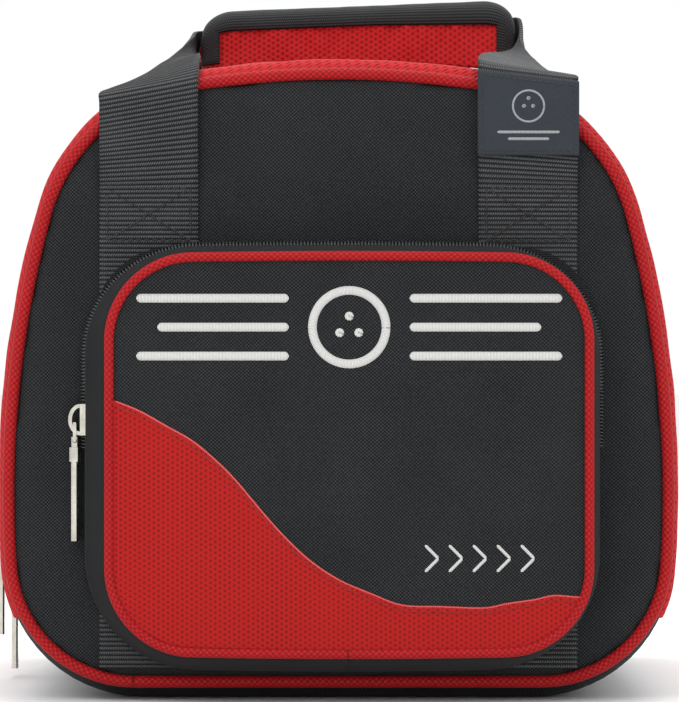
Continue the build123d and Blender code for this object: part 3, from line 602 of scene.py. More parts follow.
def gusset(side, half):
    """Red fabric round the bag's depth, rolled out behind the piping and slightly rumpled."""
    depths, stations = zip(*roll_stations(side, 1.5))

    def rumple(row, x, y, z):
        edge = min(1, depths[row] / 10) * min(1, (ROLL_END - depths[row]) / 8)
        place = (x, abs(y), z)
        out = Vector((x / 130, (z - 120) / 130)).normalized()
        return out * (edge * (1.1 * rough(place, 42, side) + 0.5 * rough(place, 16, 4 + side)) - 0.5 * edge)

    cloth = band(f"{half}_gusset_cloth", stations, RIM_Z, True, 300, rumple)
    finish_piece(thicken(cloth, 1.4, -side), f"{half}_half", RED_CLOTH, (f"{half}_gusset",))


def gusset_lining(side, half):
    """The gusset's profile, set in behind the cloth and lightly waved."""
    stations = []
    for depth, (y, *growths) in roll_stations(side, 3.0):
        if 5 < depth < 100:
            stations.append((y, *(growth - 3.9 - 0.35 * sin(depth / 3.5) for growth in growths)))
    cloth = band(f"{half}_gusset_lining_cloth", stations, RIM_Z, True, 200)
    finish_piece(thicken(cloth, 0.5, 0.0), f"{half}_half", LINING, (f"{half}_gusset_lining",))


for side, half in HALVES:
    gusset(side, half)
    gusset_lining(side, half)

bottom_depths = ((-114.2, 0.0), (-111, 0.28), (-107, 0.62), (-102, 0.93), (-97, 1.0), (-60, 1.0), (-20, 1.0))
bottom_stations = [(y, SIDE_PUFF * share, CROWN_PUFF * share, SEAM_Z * share) for y, share in bottom_depths]
bottom_stations += [(-y, s, c, b) for y, s, c, b in bottom_stations[::-1]]
bottom = band("bottom_panel_cloth", bottom_stations, RIM_Z - 0.5, False, 180)
finish_piece(thicken(bottom, 2.6, 1.0), "base", BLACK_CLOTH, ("bottom_panel",))

# The base's pad
pad_low, pad_high = box_mm("base_pad")
PAD_CORNER_IN = 15
PAD_CORNER_R = 13
pad_x, pad_y = pad_high.x - PAD_CORNER_IN, pad_high.y - PAD_CORNER_IN
pad_ring = []
for quarter, (cx, cy) in enumerate(((pad_x, pad_y), (-pad_x, pad_y), (-pad_x, -pad_y), (pad_x, -pad_y))):
    for k in range(9):
        angle = pi / 2 * (quarter + k / 8)
        pad_ring.append((cx + PAD_CORNER_R * cos(angle), cy + PAD_CORNER_R * sin(angle)))
pad_shape = [(x, y, z) for z in (pad_low.z + 1.2, pad_high.z - 1.2) for x, y in pad_ring]
pad_count = len(pad_ring)
pad_faces = [tuple(range(pad_count))[::-1], tuple(range(pad_count, 2 * pad_count))]
pad_faces += [(i, (i + 1) % pad_count, (i + 1) % pad_count + pad_count, i + pad_count) for i in range(pad_count)]
base_pad = new_mesh("base_pad_cloth", pad_shape, pad_faces)
inflate(base_pad, 2, 4, 1.1)
finish_piece(base_pad, "base", LINING, ("base_pad",))


# ---- Main zip ----
COIL_LOW, COIL_HIGH = box_mm("rear_zip_coil")
COIL_R = (COIL_HIGH.y - COIL_LOW.y) / 2
COIL_Y = (COIL_HIGH.y + COIL_LOW.y) / 2
COIL_IN = GUSSET_HIGH.x - COIL_HIGH.x + COIL_R
LEFT_OPEN_Z = 72.5
coil_ring = outline(SIDE_PUFF - COIL_IN, CROWN_PUFF - COIL_IN, SEAM_Z - COIL_IN)
zip_line = part_of_outline(coil_ring, COIL_LOW.z, True, 500)
front_zip = [(x, -COIL_Y, z) for x, z in zip_line if x > 0 or z > LEFT_OPEN_Z]
rear_zip = [(x, COIL_Y, z) for x, z in zip_line]
COIL_WIRE_R = 0.38
COIL_PITCH = 1.5
TAPE_W = 13.4
TAPE_IN = COIL_IN + COIL_R + 0.4
tape_ring = outline(SIDE_PUFF - TAPE_IN, CROWN_PUFF - TAPE_IN, SEAM_Z - TAPE_IN)
tape_line = part_of_outline(tape_ring, COIL_LOW.z, True, 400)
for side, half, line, left_z in ((-1, "front", front_zip, LEFT_OPEN_Z), (1, "rear", rear_zip, 0)):
    teeth = coil(f"{half}_coil_teeth", line, COIL_R, COIL_WIRE_R, COIL_PITCH, -side)
    finish_piece(teeth, f"{half}_half", ZIP_COIL, (f"{half}_zip_coil",))
    ring = [p for p in tape_line if p[0] > 0 or p[1] > left_z]
    across = [TAPE_W * k / 7 for k in range(8)]
    verts = [(x, side * (0.5 + y), z) for y in across for x, z in ring]
    uvs = [(c * 1.6, y) for y in across for c in range(len(ring))]
    tape = new_mesh(f"{half}_zip_tape_cloth", verts, grid_faces(len(across), len(ring)), uvs)
    finish_piece(thicken(tape, 0.6, 0.0), f"{half}_half", ZIP_TAPE, (f"{half}_zip_tape",))


# ---- Raw mesh parts that are joined into one piece ----
def sheet_part(rows, uvs):
    cols = len(rows[0])
    return [p for row in rows for p in row], grid_faces(len(rows), cols), [q for row in uvs for q in row]


def patch(rows, cols, place):
    """Grid whose points and UVs come from place(row, column)."""
    cells = [place(r, c) for r in range(rows) for c in range(cols)]
    return [point for point, _ in cells], grid_faces(rows, cols), [uv for _, uv in cells]


def joined(name, parts):
    verts, faces, uvs = [], [], []
    for part_verts, part_faces, part_uvs in parts:
        base = len(verts)
        verts += part_verts
        faces += [tuple(i + base for i in face) for face in part_faces]
        uvs += part_uvs
    return new_mesh(name, verts, faces, uvs)


def stroke(path, width, depth_at, rise, closed=False):
    """Satin-stitched stroke in the xz plane on a surface, domed and with rounded ends."""
    points = spaced([(x, 0, z) for x, z in path], 0.5, closed)
    n = len(points)
    rows, uvs = [], []
    for i, p in enumerate(points):
        before, after = neighbours(points, i, closed)
        t = Vector((after[0] - before[0], after[2] - before[2])).normalized()
        end = 1.0 if closed else min(1.0, 2 * min(i, n - 1 - i) * 0.5 / width)
        half = width / 2 * sqrt(max(0.05, 1 - (1 - end) ** 2))
        row, uv = [], []
        for k in range(7):
            across = -1 + k / 3
            x, z = p[0] - t.y * across * half, p[2] + t.x * across * half
            lift = rise * (1 - across * across) ** 0.5 * (0.4 + 0.6 * half / (width / 2))
            row.append((x, depth_at(x, z) - lift + 0.12, z))
            uv.append((across * half, i * 0.5))
        rows.append(row)
        uvs.append(uv)
    verts, faces, flat_uvs = sheet_part(rows, uvs)
    if closed:
        faces = grid_faces(n, 7, False, True)
    return verts, faces, flat_uvs


def dashes(path, length, gap, width, depth_at, rise):
    """Row of stitches along a path in the xz plane."""
    points = [(x, z) for x, _, z in spaced([(x, 0, z) for x, z in path], (length + gap) / 4)]
    return [stroke(points[i:i + 4], width, depth_at, rise) for i in range(0, len(points) - 4, 4)]


def circle(cx, cz, radius, count):
    return [(cx + radius * cos(2 * pi * i / count), cz + radius * sin(2 * pi * i / count)) for i in range(count)]


def finger_holes(cx, cz, reach, radius, count, width, depth_at, rise):
    """The three holes of a ball, as small closed strokes."""
    return [stroke(circle(cx + reach * cos(radians(angle)), cz + reach * sin(radians(angle)), radius, count),
                   width, depth_at, rise, True) for angle in (90, 210, 330)]


# ---- Webbing ----
LEG_LOW, LEG_HIGH = box_mm("front_strap_legs")
LEG_Y = -(LEG_LOW.y + LEG_HIGH.y) / 2
WRAP_LOW, WRAP_HIGH = box_mm("handle_wrap")
WEB_W = 38
WEB_OUT = LEG_HIGH.x
WEB_IN = WEB_OUT - WEB_W
HANDLE_Y = 122.8


def tilt(x):
    """The wrap hangs lower at its left end."""
    return -0.040 * (WRAP_HIGH.x - x)


# Heights of the fold at the webbing's inner and outer edge, on the left and the right
FOLDS = {-1: (236.5, 229.5), 1: (240.6, 236.0)}
# Past the fold: depth, then inner x, inner z, outer x and outer z of the webbing's edges
LEFT_TURN = ((-110, 54, 246.8, 88, 236.2), (-97, 54, 250.2, 80, 240.0), (-76, 55, 251.8, 72, 246.4),
             (-50, 57, 252.8, 66, 253.0), (-28, 58, 254.8, 60, 261.2))
RIGHT_TURN = ((-110, 54, 248.0, 87, 241.6), (-97, 56, 250.2, 84, 242.6), (-76, 60, 252.2, 80, 247.0),
              (-50, 66, 254.0, 76, 253.6), (-28, 71, 257.0, 74.5, 260.5))


def leg_stations(side, grip_x, grip_y):
    """Pairs of inner and outer edge points from the foot of the webbing to the grip's end."""
    inner, outer = side * WEB_IN, side * WEB_OUT
    fold_in, fold_out = FOLDS[side]
    # Up the panel, off its top and over the fold: depth, then the heights of the two edges
    upright = ((-LEG_Y, LEG_LOW.z, LEG_LOW.z), (-LEG_Y, 100, 100), (-LEG_Y, 186, 186), (-LEG_Y - 1.4, 205, 203),
               (-HANDLE_Y + 0.6, 226, 220), (-HANDLE_Y + 0.8, fold_in, fold_out),
               (-HANDLE_Y + 4.0, fold_in + 5.0, fold_out + 4.2))
    stations = [((inner, y, z0), (outer, y, z1)) for y, z0, z1 in upright]
    for y, x0, z0, x1, z1 in LEFT_TURN if side < 0 else RIGHT_TURN:
        stations.append(((side * x0, y, z0), (side * x1, y, z1)))
    for x in (grip_x, grip_x - 8 * side, grip_x - 24 * side):
        stations.append(((x, grip_y, 260 + tilt(x)), (x, grip_y, 270.8 + tilt(x))))
    return stations


def webbing(stations):
    """Ribbed webbing through pairs of edge points; each rib stands proud of the gaps between."""
    spine = [0.0]
    middles = [(Vector(a) + Vector(b)) / 2 for a, b in stations]
    for a, b in zip(middles, middles[1:]):
        spine.append(spine[-1] + (b - a).length)
    track = smooth_stations([(s, *a, *b) for s, (a, b) in zip(spine, stations)], 0.44)
    rows, uvs = [], []
    for i, (s, ax, ay, az, bx, by, bz) in enumerate(track):
        a, b = Vector((ax, ay, az)), Vector((bx, by, bz))
        nxt, prev = track[min(i + 1, len(track) - 1)], track[max(i - 1, 0)]
        along = (Vector(nxt[1:4]) + Vector(nxt[4:7]) - Vector(prev[1:4]) - Vector(prev[4:7])).normalized()
        normal = (b - a).cross(along).normalized()
        rib = 0.20 * abs(sin(pi * s / RIB_MM))
        row, uv = [], []
        for k in range(15):
            t = k / 14
            edge = min(t, 1 - t) * WEB_W
            lift = rib * min(1, edge / 1.2) + 0.25 * rough((a.x + WEB_W * t, s, 0), 15, 9)
            row.append(tuple(a.lerp(b, t) + normal * lift))
            uv.append((WEB_W * t, s))
        rows.append(row)
        uvs.append(uv)
    return rows, uvs


def strap(name, mirrored, grip_y, nodes):
    left = leg_stations(-1, WRAP_LOW.x - 2, grip_y)
    right = leg_stations(1, WRAP_HIGH.x + 2, grip_y)
    rows, uvs = webbing(left + right[::-1])
    if mirrored:
        rows = [[(x, -y, z) for x, y, z in row] for row in rows]
    ribbon = joined(name, [sheet_part(rows, uvs)])
    thicken(ribbon, 1.5, 0.0)
    side_y = LEG_Y if mirrored else -LEG_Y
    finish_blended(ribbon, side_y, (192, 207), WEBBING, nodes)


strap("front_webbing", False, -7, ("front_strap_legs", "front_strap_loop"))
strap("rear_webbing", True, -8, ("rear_strap_legs", "rear_strap_loop"))

# Box stitching, a cross in a box, where the webbing carries the load
BOX_LOW, BOX_HIGH = 177.5, 197.5
BOX_IN = 3
stitch_parts = []
for side in (-1, 1):
    x0, x1 = side * (WEB_IN + BOX_IN), side * (WEB_OUT - BOX_IN)
    box = [(x0, BOX_LOW), (x1, BOX_LOW), (x1, BOX_HIGH), (x0, BOX_HIGH), (x0, BOX_LOW)]
    for a, b in list(zip(box, box[1:])) + [(box[0], box[2]), (box[1], box[3])]:
        stitch_parts += dashes([a, b], 2.4, 0.7, 0.7, lambda x, z: -(LEG_Y + 1.1), 0.35)
stitching = joined("strap_box_stitches", stitch_parts)
finish_piece(stitching, "front_half", THREAD, ("strap_stitching",))

# ---- Label on the right strap ----
LABEL_LOW, LABEL_HIGH = box_mm("label_patch")
LABEL_Y = HANDLE_Y + 1.35
LABEL_TOP_Z = 243.0
LABEL_FALL = 4.6
LABEL_SEAM_IN = 1.8


def label_top(x):
    return LABEL_TOP_Z - LABEL_FALL * (x - LABEL_LOW.x) / (LABEL_HIGH.x - LABEL_LOW.x)


def label_depth(x, z):
    return -LABEL_Y - 0.35 * rough((x, 0, z), 16, 5)


def label_place(i, k):
    x = LABEL_LOW.x + (LABEL_HIGH.x - LABEL_LOW.x) * k / 39
    z = LABEL_LOW.z + (label_top(x) - LABEL_LOW.z) * i / 39
    edge = min(i, k, 39 - i, 39 - k)
    return (x, label_depth(x, z) - 0.35 * min(1, edge / 2), z), (x, z)


label = joined("label_cloth", [patch(40, 40, label_place)])
finish_piece(thicken(label, 0.6, -1.0), "front_handle", LABEL, ("label_patch",))


def on_label(x, z):
    return label_depth(x, z) - 0.45


lx0, lx1, lz = LABEL_LOW.x + LABEL_SEAM_IN, LABEL_HIGH.x - LABEL_SEAM_IN, LABEL_LOW.z + LABEL_SEAM_IN
border = [(lx0, lz), (lx1, lz), (lx1, label_top(lx1) - LABEL_SEAM_IN), (lx0, label_top(lx0) - LABEL_SEAM_IN)]
parts = []
for a, b in zip(border, border[1:] + border[:1]):
    parts += dashes([a, b], 1.7, 0.8, 0.5, on_label, 0.3)
finish_piece(joined("label_stitches", parts), "front_handle", THREAD)
mark_x, mark_z = (lx0 + lx1) / 2, LABEL_LOW.z + 16
parts = [stroke(circle(mark_x, mark_z + 3, 6, 40), 0.8, on_label, 0.3, True)]
parts += finger_holes(mark_x, mark_z + 4, 2, 0.5, 10, 0.7, on_label, 0.3)
for row_z, half in ((mark_z - 7.0, 12), (mark_z - 9.6, 8)):
    parts.append(stroke([(mark_x - half, row_z), (mark_x + half, row_z)], 1.1, on_label, 0.3))
finish_piece(joined("label_mark", parts), "front_handle", GREY_THREAD)

# ---- Pocket ----
FACE_FRONT_Y = box_mm("pocket_face_lower")[0].y
PPIPE_LOW, PPIPE_HIGH = box_mm("pocket_piping_lower")
PPIPE_TOP = box_mm("pocket_piping_upper")[1].z
FACE_ASIDE = 1.6
POCKET_X = (PPIPE_LOW.x + PPIPE_HIGH.x) / 2 + FACE_ASIDE
POCKET_HALF = (PPIPE_HIGH.x - PPIPE_LOW.x) / 2
POCKET_LOW, POCKET_HIGH = PPIPE_LOW.z, PPIPE_TOP
POCKET_MID = (POCKET_LOW + POCKET_HIGH) / 2
POCKET_R = 33
FACE_EDGE = 3.0
WALL_FLARE = 5.0
WALL_ASIDE = 2.6
WALL_SINK = 3.0
WALL_ROUNDER = 4
PIPE_R = 1.9
PIPE_Y = PPIPE_LOW.y + PIPE_R
FOLD_Z = PPIPE_HIGH.z


def pocket_ring(grow, count=320, rounder=0.0):
    """Closed outline of the pocket in (x, z), counterclockwise from the middle of its foot."""
    half, low, high = POCKET_HALF + grow, POCKET_LOW - grow, POCKET_HIGH + grow
    r = POCKET_R + grow + rounder
    corners = ((half - r, low + r, -90), (half - r, high - r, 0), (r - half, high - r, 90), (r - half, low + r, 180))
    points = [(POCKET_X, low)]
    for cx, cz, start in corners:
        points += [(POCKET_X + cx + r * cos(radians(start + 5 * k)), cz + r * sin(radians(start + 5 * k)))
                   for k in range(19)]
    points = resample(points + [(POCKET_X, low)], count + 1)[:-1]
    # The foot and the crown of the pocket bow out a little
    return [(x, z + bow(x, z)) for x, z in points]


def lean(x, z, share):
    """The wall of the pocket meets the bag a little to the left of its face, and its crown lower."""
    up = max(0, (z - POCKET_MID) / (POCKET_HIGH - POCKET_MID))
    return x - WALL_ASIDE * share, z - WALL_SINK * share * up


def bow(x, z):
    arch = 1 - min(1, abs(x - POCKET_X) / POCKET_HALF) ** 2
    share = (z - POCKET_MID) / (POCKET_HIGH - POCKET_MID)
    return (1.3 * arch if share > 0 else 1.6 * arch) * share * abs(share)


def face_half(z, inset_by):
    """Half the width of the face at a height."""
    r = POCKET_R - inset_by
    low, high = POCKET_LOW + inset_by, POCKET_HIGH - inset_by
    drop = max(0, low + r - z, z - (high - r))
    return POCKET_HALF - inset_by - r + sqrt(max(0, r * r - drop * drop))


def face_y(x, z):
    """Depth of the pocket's face: it swells a little between the pipings."""
    sx = min(1, abs(x - POCKET_X) / (POCKET_HALF - 3))
    sz = min(1, abs(z - POCKET_MID) / (POCKET_HIGH - POCKET_MID - 3))
    swell = (1 - sx ** 4) * (1 - sz ** 4)
    waves = 0.28 * swell * rough((x, 0, z), 34, 2) + 0.10 * rough((x, 0, z), 11, 6)
    return FACE_FRONT_Y + 0.35 - 0.75 * swell - waves


def finish_pocket(obj, material, replaced):
    """A piece of the pocket, passed to finish_blended with heights round the pocket's fold."""
    heights = (FOLD_Z - 6, FOLD_Z + 6)
    finish_blended(obj, PIPE_Y, heights, material, replaced)


def face_place(i, k):
    edge = FACE_EDGE + 0.2
    low, high = POCKET_LOW + edge, POCKET_HIGH - edge
    z = low + (high - low) * (1 - cos(pi * i / 129)) / 2
    half = face_half(z, edge)
    x = POCKET_X - half + 2 * half * k / 119
    bowed = z + bow(x, z)
    return (x, face_y(x, bowed), bowed), (x, bowed)


face = joined("pocket_face_cloth", [patch(130, 120, face_place)])
finish_pocket(thicken(face, 1.4, -1.0), BLACK_PANEL, ("pocket_face_lower", "pocket_face_upper"))

# Piping round the face
loop = [(x, PIPE_Y, z) for x, z in pocket_ring(-2.0)]
pipe = tube("pocket_piping_cord", spaced(loop, 1.0, True), PIPE_R, closed=True, sides=12)
finish_pocket(pipe, RED_PIPING, ("pocket_piping_lower", "pocket_piping_upper"))

# Wall of the pocket: black tape that flares towards the bag
TAPE_BACK_Y = box_mm("pocket_zip_tape_upper")[1].y
rows, uvs = [], []
for k in range(12):
    share = k / 11
    y = PIPE_Y + 1.4 + (TAPE_BACK_Y - PIPE_Y - 1.4) * share
    ring = pocket_ring(-0.6 + (WALL_FLARE + 0.6) * share ** 0.8, rounder=WALL_ROUNDER * share)
    rows.append([(x, y, z) for x, z in (lean(*p, share) for p in ring + ring[:1])])
    uvs.append([(1.9 * c, y) for c in range(len(ring) + 1)])
wall = joined("pocket_wall_cloth", [sheet_part(rows, uvs)])
finish_pocket(thicken(wall, 1.0, 0.0), BLACK_WALL, ("pocket_gusset", "pocket_zip_tape_upper"))

# Foot of the wall, sewn to the panel below the zip's ends
ZIP_END_Z = box_mm("pocket_zip_coil_fixed")[0].z
GUSSET_BACK_Y = box_mm("pocket_gusset")[1].y
rows, uvs = [], []
for k in range(5):
    y = TAPE_BACK_Y + (GUSSET_BACK_Y - TAPE_BACK_Y) * k / 4
    ring = pocket_ring(WALL_FLARE + 0.3 * k / 4, rounder=WALL_ROUNDER)
    from_crown = ring[len(ring) // 2:] + ring[:len(ring) // 2]
    line = resample([p for p in from_crown if p[1] < ZIP_END_Z], 200)
    rows.append([(x - WALL_ASIDE, y, z) for x, z in line])
    uvs.append([(1.9 * c, y) for c in range(len(line))])
foot = joined("pocket_wall_foot", [sheet_part(rows, uvs)])
finish_piece(thicken(foot, 1.0, 0.0), "front_half", BLACK_WALL)

# Pocket zip: two coils round the top of the pocket
for name, node, body in (("pocket_coil_fixed_teeth", "pocket_zip_coil_fixed", "front_half"),
                         ("pocket_coil_flap_teeth", "pocket_zip_coil_upper", "pocket_flap")):
    low, high = box_mm(node)
    r = (high.y - low.y) / 2
    ring = pocket_ring(WALL_FLARE + 0.4, 600, WALL_ROUNDER)
    start = next(i for i, p in enumerate(ring) if p[1] > low.z)
    line = (lean(*p, 1) for p in ring[start:] + ring[:start])
    path = [(x, (low.y + high.y) / 2, z) for x, z in line if z > low.z]
    finish_piece(coil(name, path, r + 0.15, 0.32, 1.3, 1), body, ZIP_COIL, (node,))

# ---- Red wave on the pocket ----
WAVE = ((-86.4, 116.6), (-75.9, 112.4), (-65.5, 106.6), (-55.4, 100.8), (-46.2, 93.1), (-39.6, 86.5), (-33.4, 79.2),
        (-27.2, 71.8), (-19.5, 63.4), (-10.2, 54.9), (0.6, 47.9), (12, 43), (23.8, 38.6), (39.2, 37.9), (56.2, 37.5),
        (63.9, 39), (74.7, 40.6), (81.7, 42.1), (90, 41.6))


def curve_at(points, x):
    k = max(0, min(len(points) - 2, sum(1 for p in points if p[0] <= x) - 1))
    (x0, z0), (x1, z1) = points[k], points[k + 1]
    before, after = points[max(k - 1, 0)], points[min(k + 2, len(points) - 1)]
    t = (x - x0) / (x1 - x0)
    m0 = (z1 - before[1]) / (x1 - before[0]) * (x1 - x0)
    m1 = (after[1] - z0) / (after[0] - x0) * (x1 - x0)
    return ((2 * t ** 3 - 3 * t * t + 1) * z0 + (t ** 3 - 2 * t * t + t) * m0
            + (3 * t * t - 2 * t ** 3) * z1 + (t ** 3 - t * t) * m1)


def wave_z(x):
    return curve_at(WAVE, x)


def accent_y(x, z):
    """The accent lies on the face; its top edge is folded under and stands a little proud."""
    fold = max(0, 1 - abs(wave_z(x) - 1.3 - z) / 1.3)
    return face_y(x, z) - 0.45 - 0.35 * sqrt(fold)


def foot_z(x):
    r = POCKET_R - FACE_EDGE
    over = max(0, abs(x - POCKET_X) - (POCKET_HALF - FACE_EDGE - r))
    z = POCKET_LOW + FACE_EDGE + r - sqrt(max(0, r * r - over * over))
    return z + bow(x, z)


SPAN = POCKET_HALF - FACE_EDGE - 0.1


def accent_place(i, k):
    x = POCKET_X - SPAN * cos(pi * i / 179)
    low, high = foot_z(x), wave_z(min(x, WAVE[-1][0]))
    z = high + (low - high) * (k / 69) ** 1.35
    return (x, accent_y(x, z), z), (x, z)


def along_wave(inset_by, below, count):
    """Line under the wave's edge, from one side of the face to the other."""
    half = SPAN - inset_by
    return [(x, wave_z(x) - below) for x in (POCKET_X - half + 2 * half * i / count for i in range(count + 1))]


accent = joined("pocket_wave_cloth", [patch(180, 70, accent_place)])
finish_piece(thicken(accent, 0.45, -1.0), "front_half", RED_ACCENT, ("pocket_accent",))
# A thin lighter red stroke along the wave's top edge: a painted highlight on the fold
edge = stroke(along_wave(1, 0.25, 160), 0.7, lambda x, z: accent_y(x, z) + 0.05, 0.2)
finish_piece(joined("pocket_wave_painted_highlight", [edge]), "front_half", RED_FOLD_HIGHLIGHT)
seam = dashes(along_wave(2, 2.2, 120), 2.2, 0.7, 0.55, lambda x, z: accent_y(x, z) - 0.1, 0.25)
finish_piece(joined("pocket_wave_stitches", seam), "front_half", RED_THREAD)


# ---- Embroidery: generic ball and lane bars above, chevrons below ----
def emblem_y(x, z):
    return face_y(x, z) - 0.15


BAR_W = 3.3
EMBLEM_LOW, EMBLEM_HIGH = box_mm("pocket_emblem")
ex, ez = POCKET_X, (EMBLEM_LOW.z + EMBLEM_HIGH.z) / 2
parts = [stroke(circle(ex, ez, 14, 60), BAR_W, emblem_y, 0.8, True)]
parts += finger_holes(ex, ez, 4.2, 0.8, 12, 1.9, emblem_y, 0.7)
for side in (-1, 1):
    for centre, lift, length in ((52, 11, 58), (48, 0, 50), (52, -11, 58)):
        x0, x1 = ex + side * (centre - length / 2), ex + side * (centre + length / 2)
        parts.append(stroke([(x0, ez + lift), (x1, ez + lift)], BAR_W, emblem_y, 0.8))
finish_piece(joined("pocket_emblem_stitches", parts), "pocket_flap", WHITE_THREAD, ("pocket_emblem",))
BADGE_LOW, BADGE_HIGH = box_mm("pocket_badge")
bz, bh = (BADGE_LOW.z + BADGE_HIGH.z) / 2, (BADGE_HIGH.z - BADGE_LOW.z) / 2
parts = []
for k in range(5):
    bx = BADGE_LOW.x + 0.5 + (BADGE_HIGH.x - BADGE_LOW.x - bh - 1) * k / 4
    tip = (bx + bh - 0.6, bz)
    parts.append(stroke([(bx, bz - bh + 0.6), tip], 1.2, emblem_y, 0.45))
    parts.append(stroke([tip, (bx, bz + bh - 0.6)], 1.2, emblem_y, 0.45))
finish_piece(joined("pocket_badge_stitches", parts), "front_half", WHITE_THREAD, ("pocket_badge",))

# ---- Handle wrap ----
FLAP_LOW, FLAP_HIGH = box_mm("wrap_flap")
WX0, WX1 = WRAP_LOW.x, WRAP_HIGH.x
FRONT_Y, BACK_Y = FLAP_LOW.y - 0.4, FLAP_HIGH.y
BASE_Z, CROWN_Z = WRAP_LOW.z, FLAP_HIGH.z
END_R = 13.0


def end_drop(x):
    """How far the crown of the wrap rounds down at its ends."""
    d = max(0, END_R - min(x - WX0, WX1 - x))
    return END_R - sqrt(max(0, END_R * END_R - d * d)) if d < END_R else END_R


def rounded_path(points, radius, step):
    """Polyline in (y, z) with rounded corners, spaced evenly."""
    out = [points[0]]
    for a, b, c in zip(points, points[1:], points[2:]):
        va, vc = (Vector(a) - Vector(b)).normalized(), (Vector(c) - Vector(b)).normalized()
        p0, p2 = Vector(b) + va * radius, Vector(b) + vc * radius
        out += [tuple(p0.lerp(Vector(b), t).lerp(Vector(b).lerp(p2, t), t)) for t in [i / 8 for i in range(9)]]
    out.append(points[-1])
    total = sum((Vector(b) - Vector(a)).length for a, b in zip(out, out[1:]))
    return resample(out, round(total / step))


PATH_STEP = 0.8
COVER_IN = 0.6
BINDING_W = 7.5
FLAP_PATH = rounded_path([(FRONT_Y, BASE_Z + 0.2), (FRONT_Y - 0.6, CROWN_Z), (BACK_Y, CROWN_Z)], 7.5, PATH_STEP)
WALL_TOP = WRAP_HIGH.z - 0.2
WALL_PATH = rounded_path([(FRONT_Y + 1.8, BASE_Z), (BACK_Y, BASE_Z), (BACK_Y, WALL_TOP)], 6.0, PATH_STEP)


def wrap_point(x, path, i, out_by):
    """Point on the wrap's surface, moved out along the profile's normal; the profile sinks at the ends."""
    y, z = path[i]
    a, b = Vector(path[max(i - 1, 0)]), Vector(path[min(i + 1, len(path) - 1)])
    t = (b - a).normalized()
    normal = Vector((-t.y, t.x)) if path is FLAP_PATH else Vector((t.y, -t.x))
    height = (z - BASE_Z) / (CROWN_Z - BASE_Z)
    z -= end_drop(x) * height * 0.85
    z -= 4.6 * max(0, 1 - height) * min(1, max(0, (x - 14) / 50))
    return (x, y + normal.x * out_by, z + normal.y * out_by + tilt(x))


def puckers(x, i, path, strength):
    """Vertical ruffles where the red fabric is gathered under its binding."""
    s = i / (len(path) - 1)
    across = rough((x, 9 * s, 0), 5.5, 3) + 0.6 * rough((x, 14 * s, 5), 3.0, 8)
    return strength * (0.9 * across + 0.35 * rough((x, 30 * s, 0), 14, 1))


def wrap_cover(name, path, strength):
    x0, x1 = WX0 + COVER_IN, WX1 - COVER_IN

    def place(c, i):
        x = x0 + (x1 - x0) * c / 259
        fade = min(1, 6 * min(i, len(path) - 1 - i) / len(path))
        return wrap_point(x, path, i, -0.5 + puckers(x, i, path, strength * fade)), (x, PATH_STEP * i)

    return joined(name, [patch(260, len(path), place)])


def ribbon_on_wrap(path, x0, x1, start, end):
    """Binding tape over part of the wrap."""
    cols, count = max(4, round((x1 - x0) / 0.8)), end - start

    def place(c, k):
        x, i = x0 + (x1 - x0) * c / (cols - 1), start + k
        edge = min(c, cols - 1 - c, k, count - 1 - k)
        out_by = 0.1 + 0.5 * min(1, edge / 2) + 0.12 * rough((x, i, 0), 7)
        return wrap_point(x, path, i, out_by), (x, PATH_STEP * i)

    return patch(cols, count, place)


def binding(path, ends_from, long_from):
    """Tape over both ends of the wrap and along its long edge."""
    n = len(path)
    return [ribbon_on_wrap(path, WX0, WX0 + BINDING_W, ends_from, n),
            ribbon_on_wrap(path, WX1 - BINDING_W, WX1, ends_from, n),
            ribbon_on_wrap(path, WX0 + 2, WX1 - 2, long_from, n)]


top_from = next(i for i, p in enumerate(FLAP_PATH) if p[1] > CROWN_Z - 8.5)
for half, path, strength, outward, body, nodes, bound in (
        ("flap", FLAP_PATH, 1.5, 1.0, "wrap_flap", ("wrap_flap", "wrap_flap_binding"), (2, top_from)),
        ("base", WALL_PATH, 0.7, -1.0, "front_handle", ("handle_wrap", "wrap_binding"), (0, len(WALL_PATH) - 10))):
    cover = wrap_cover(f"wrap_{half}_cloth", path, strength)
    finish_piece(thicken(cover, 3.8, outward), body, RED_CLOTH, nodes[:1])
    tape = joined(f"wrap_{half}_tape", binding(path, *bound))
    finish_piece(thicken(tape, 0.7, 0.0), body, BINDING, nodes[1:])
for kind, body in (("hook", "wrap_flap"), ("loop", "front_handle")):
    low, high = box_mm(f"wrap_{kind}_patch")

    def place(c, k):
        x = low.x + (high.x - low.x) * c / 99
        z = (low.z + high.z) / 2 + tilt(x) + 0.2 * sin(2.1 * c + k)
        return (x, low.y + (high.y - low.y) * k / 7, z), (x, 0.5 * k)

    strip = joined(f"wrap_{kind}_strip", [patch(100, 8, place)])
    finish_piece(thicken(strip, 0.4, 0.0), body, HOOK, (f"wrap_{kind}_patch",))

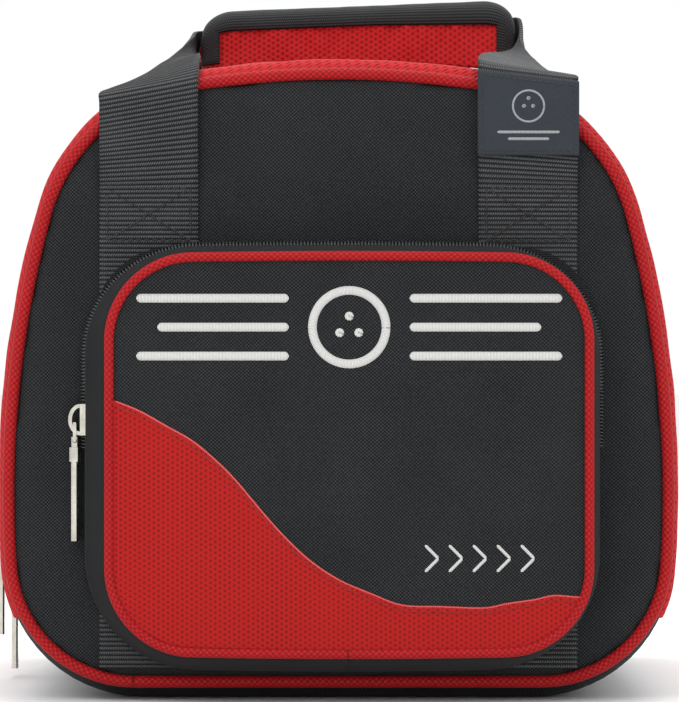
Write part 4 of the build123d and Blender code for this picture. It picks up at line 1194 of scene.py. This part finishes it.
# ---- CAD nodes that stay: their own material and softened edges ----
KEPT = {"base_board": (BOARD, 0.5), "ball_cup": (FOAM, 1.2), "zip_end_tab_left": (TAB, 0.3),
        "zip_end_tab_right": (TAB, 0.3), "front_tape_end": (TAB, 0.2), "pocket_zip_tape_fixed": (TAB, 0.1)}
for slider in ("main_slider_lower", "main_slider_upper", "pocket_slider"):
    for part in ("", "_link", "_pull"):
        KEPT[slider + part] = (NICKEL, 0.25)
for name, (material, edge) in KEPT.items():
    obj = NODES[name]
    obj.data.materials.clear()
    obj.data.materials.append(material)
    bevel = obj.modifiers.new("edge", "BEVEL")
    bevel.width = edge * MM
    bevel.segments = 2
    bevel.limit_method = "ANGLE"

# ---- Camera, floor and light ----
scene = bpy.context.scene
scene.view_settings.view_transform = "Standard"
camera = bpy.data.objects.new("camera", bpy.data.cameras.new("camera"))
scene.collection.objects.link(camera)
scene.camera = camera
camera.location = (0.0004, -1.817, 0.140)
camera.rotation_euler = (radians(90), 0, 0)
camera.data.lens = 226.0
camera.data.sensor_width = 36.0
camera.data.shift_y = -0.019

floor = new_mesh("floor", [(-6000, -3000, 0), (6000, -3000, 0), (6000, 9000, 0), (-6000, 9000, 0)], [(0, 1, 2, 3)])
paint = Nodes("floor_paint", 0.6)
floor.data.materials.append(paint.finish(paint.ramp(paint.noise(3.0), (0.86, 0.86, 0.86), (0.90, 0.90, 0.90))))
world = bpy.data.worlds.new("world")
scene.world = world
world.use_nodes = True
background = world.node_tree.nodes["Background"]
background.inputs["Color"].default_value = (1.0, 1.0, 1.0, 1)
background.inputs["Strength"].default_value = 1.0


def area_light(name, place, aim, size, watts):
    lamp = bpy.data.lights.new(name, "AREA")
    lamp.shape = "RECTANGLE"
    lamp.size, lamp.size_y = size
    lamp.energy = watts
    obj = bpy.data.objects.new(name, lamp)
    scene.collection.objects.link(obj)
    obj.location = place
    obj.rotation_euler = (Vector(aim) - Vector(place)).to_track_quat("-Z", "Y").to_euler()


area_light("key", (-0.9, -1.5, 1.6), (0, 0, 0.14), (1.2, 1.2), 12)
area_light("fill", (1.2, -1.4, 1.0), (0, 0, 0.14), (1.4, 1.4), 3)
area_light("top", (0.0, 0.2, 1.8), (0, 0, 0.2), (1.6, 1.2), 16)
area_light("back", (0.4, 1.8, 1.2), (0, 0, 0.14), (1.4, 1.4), 4)
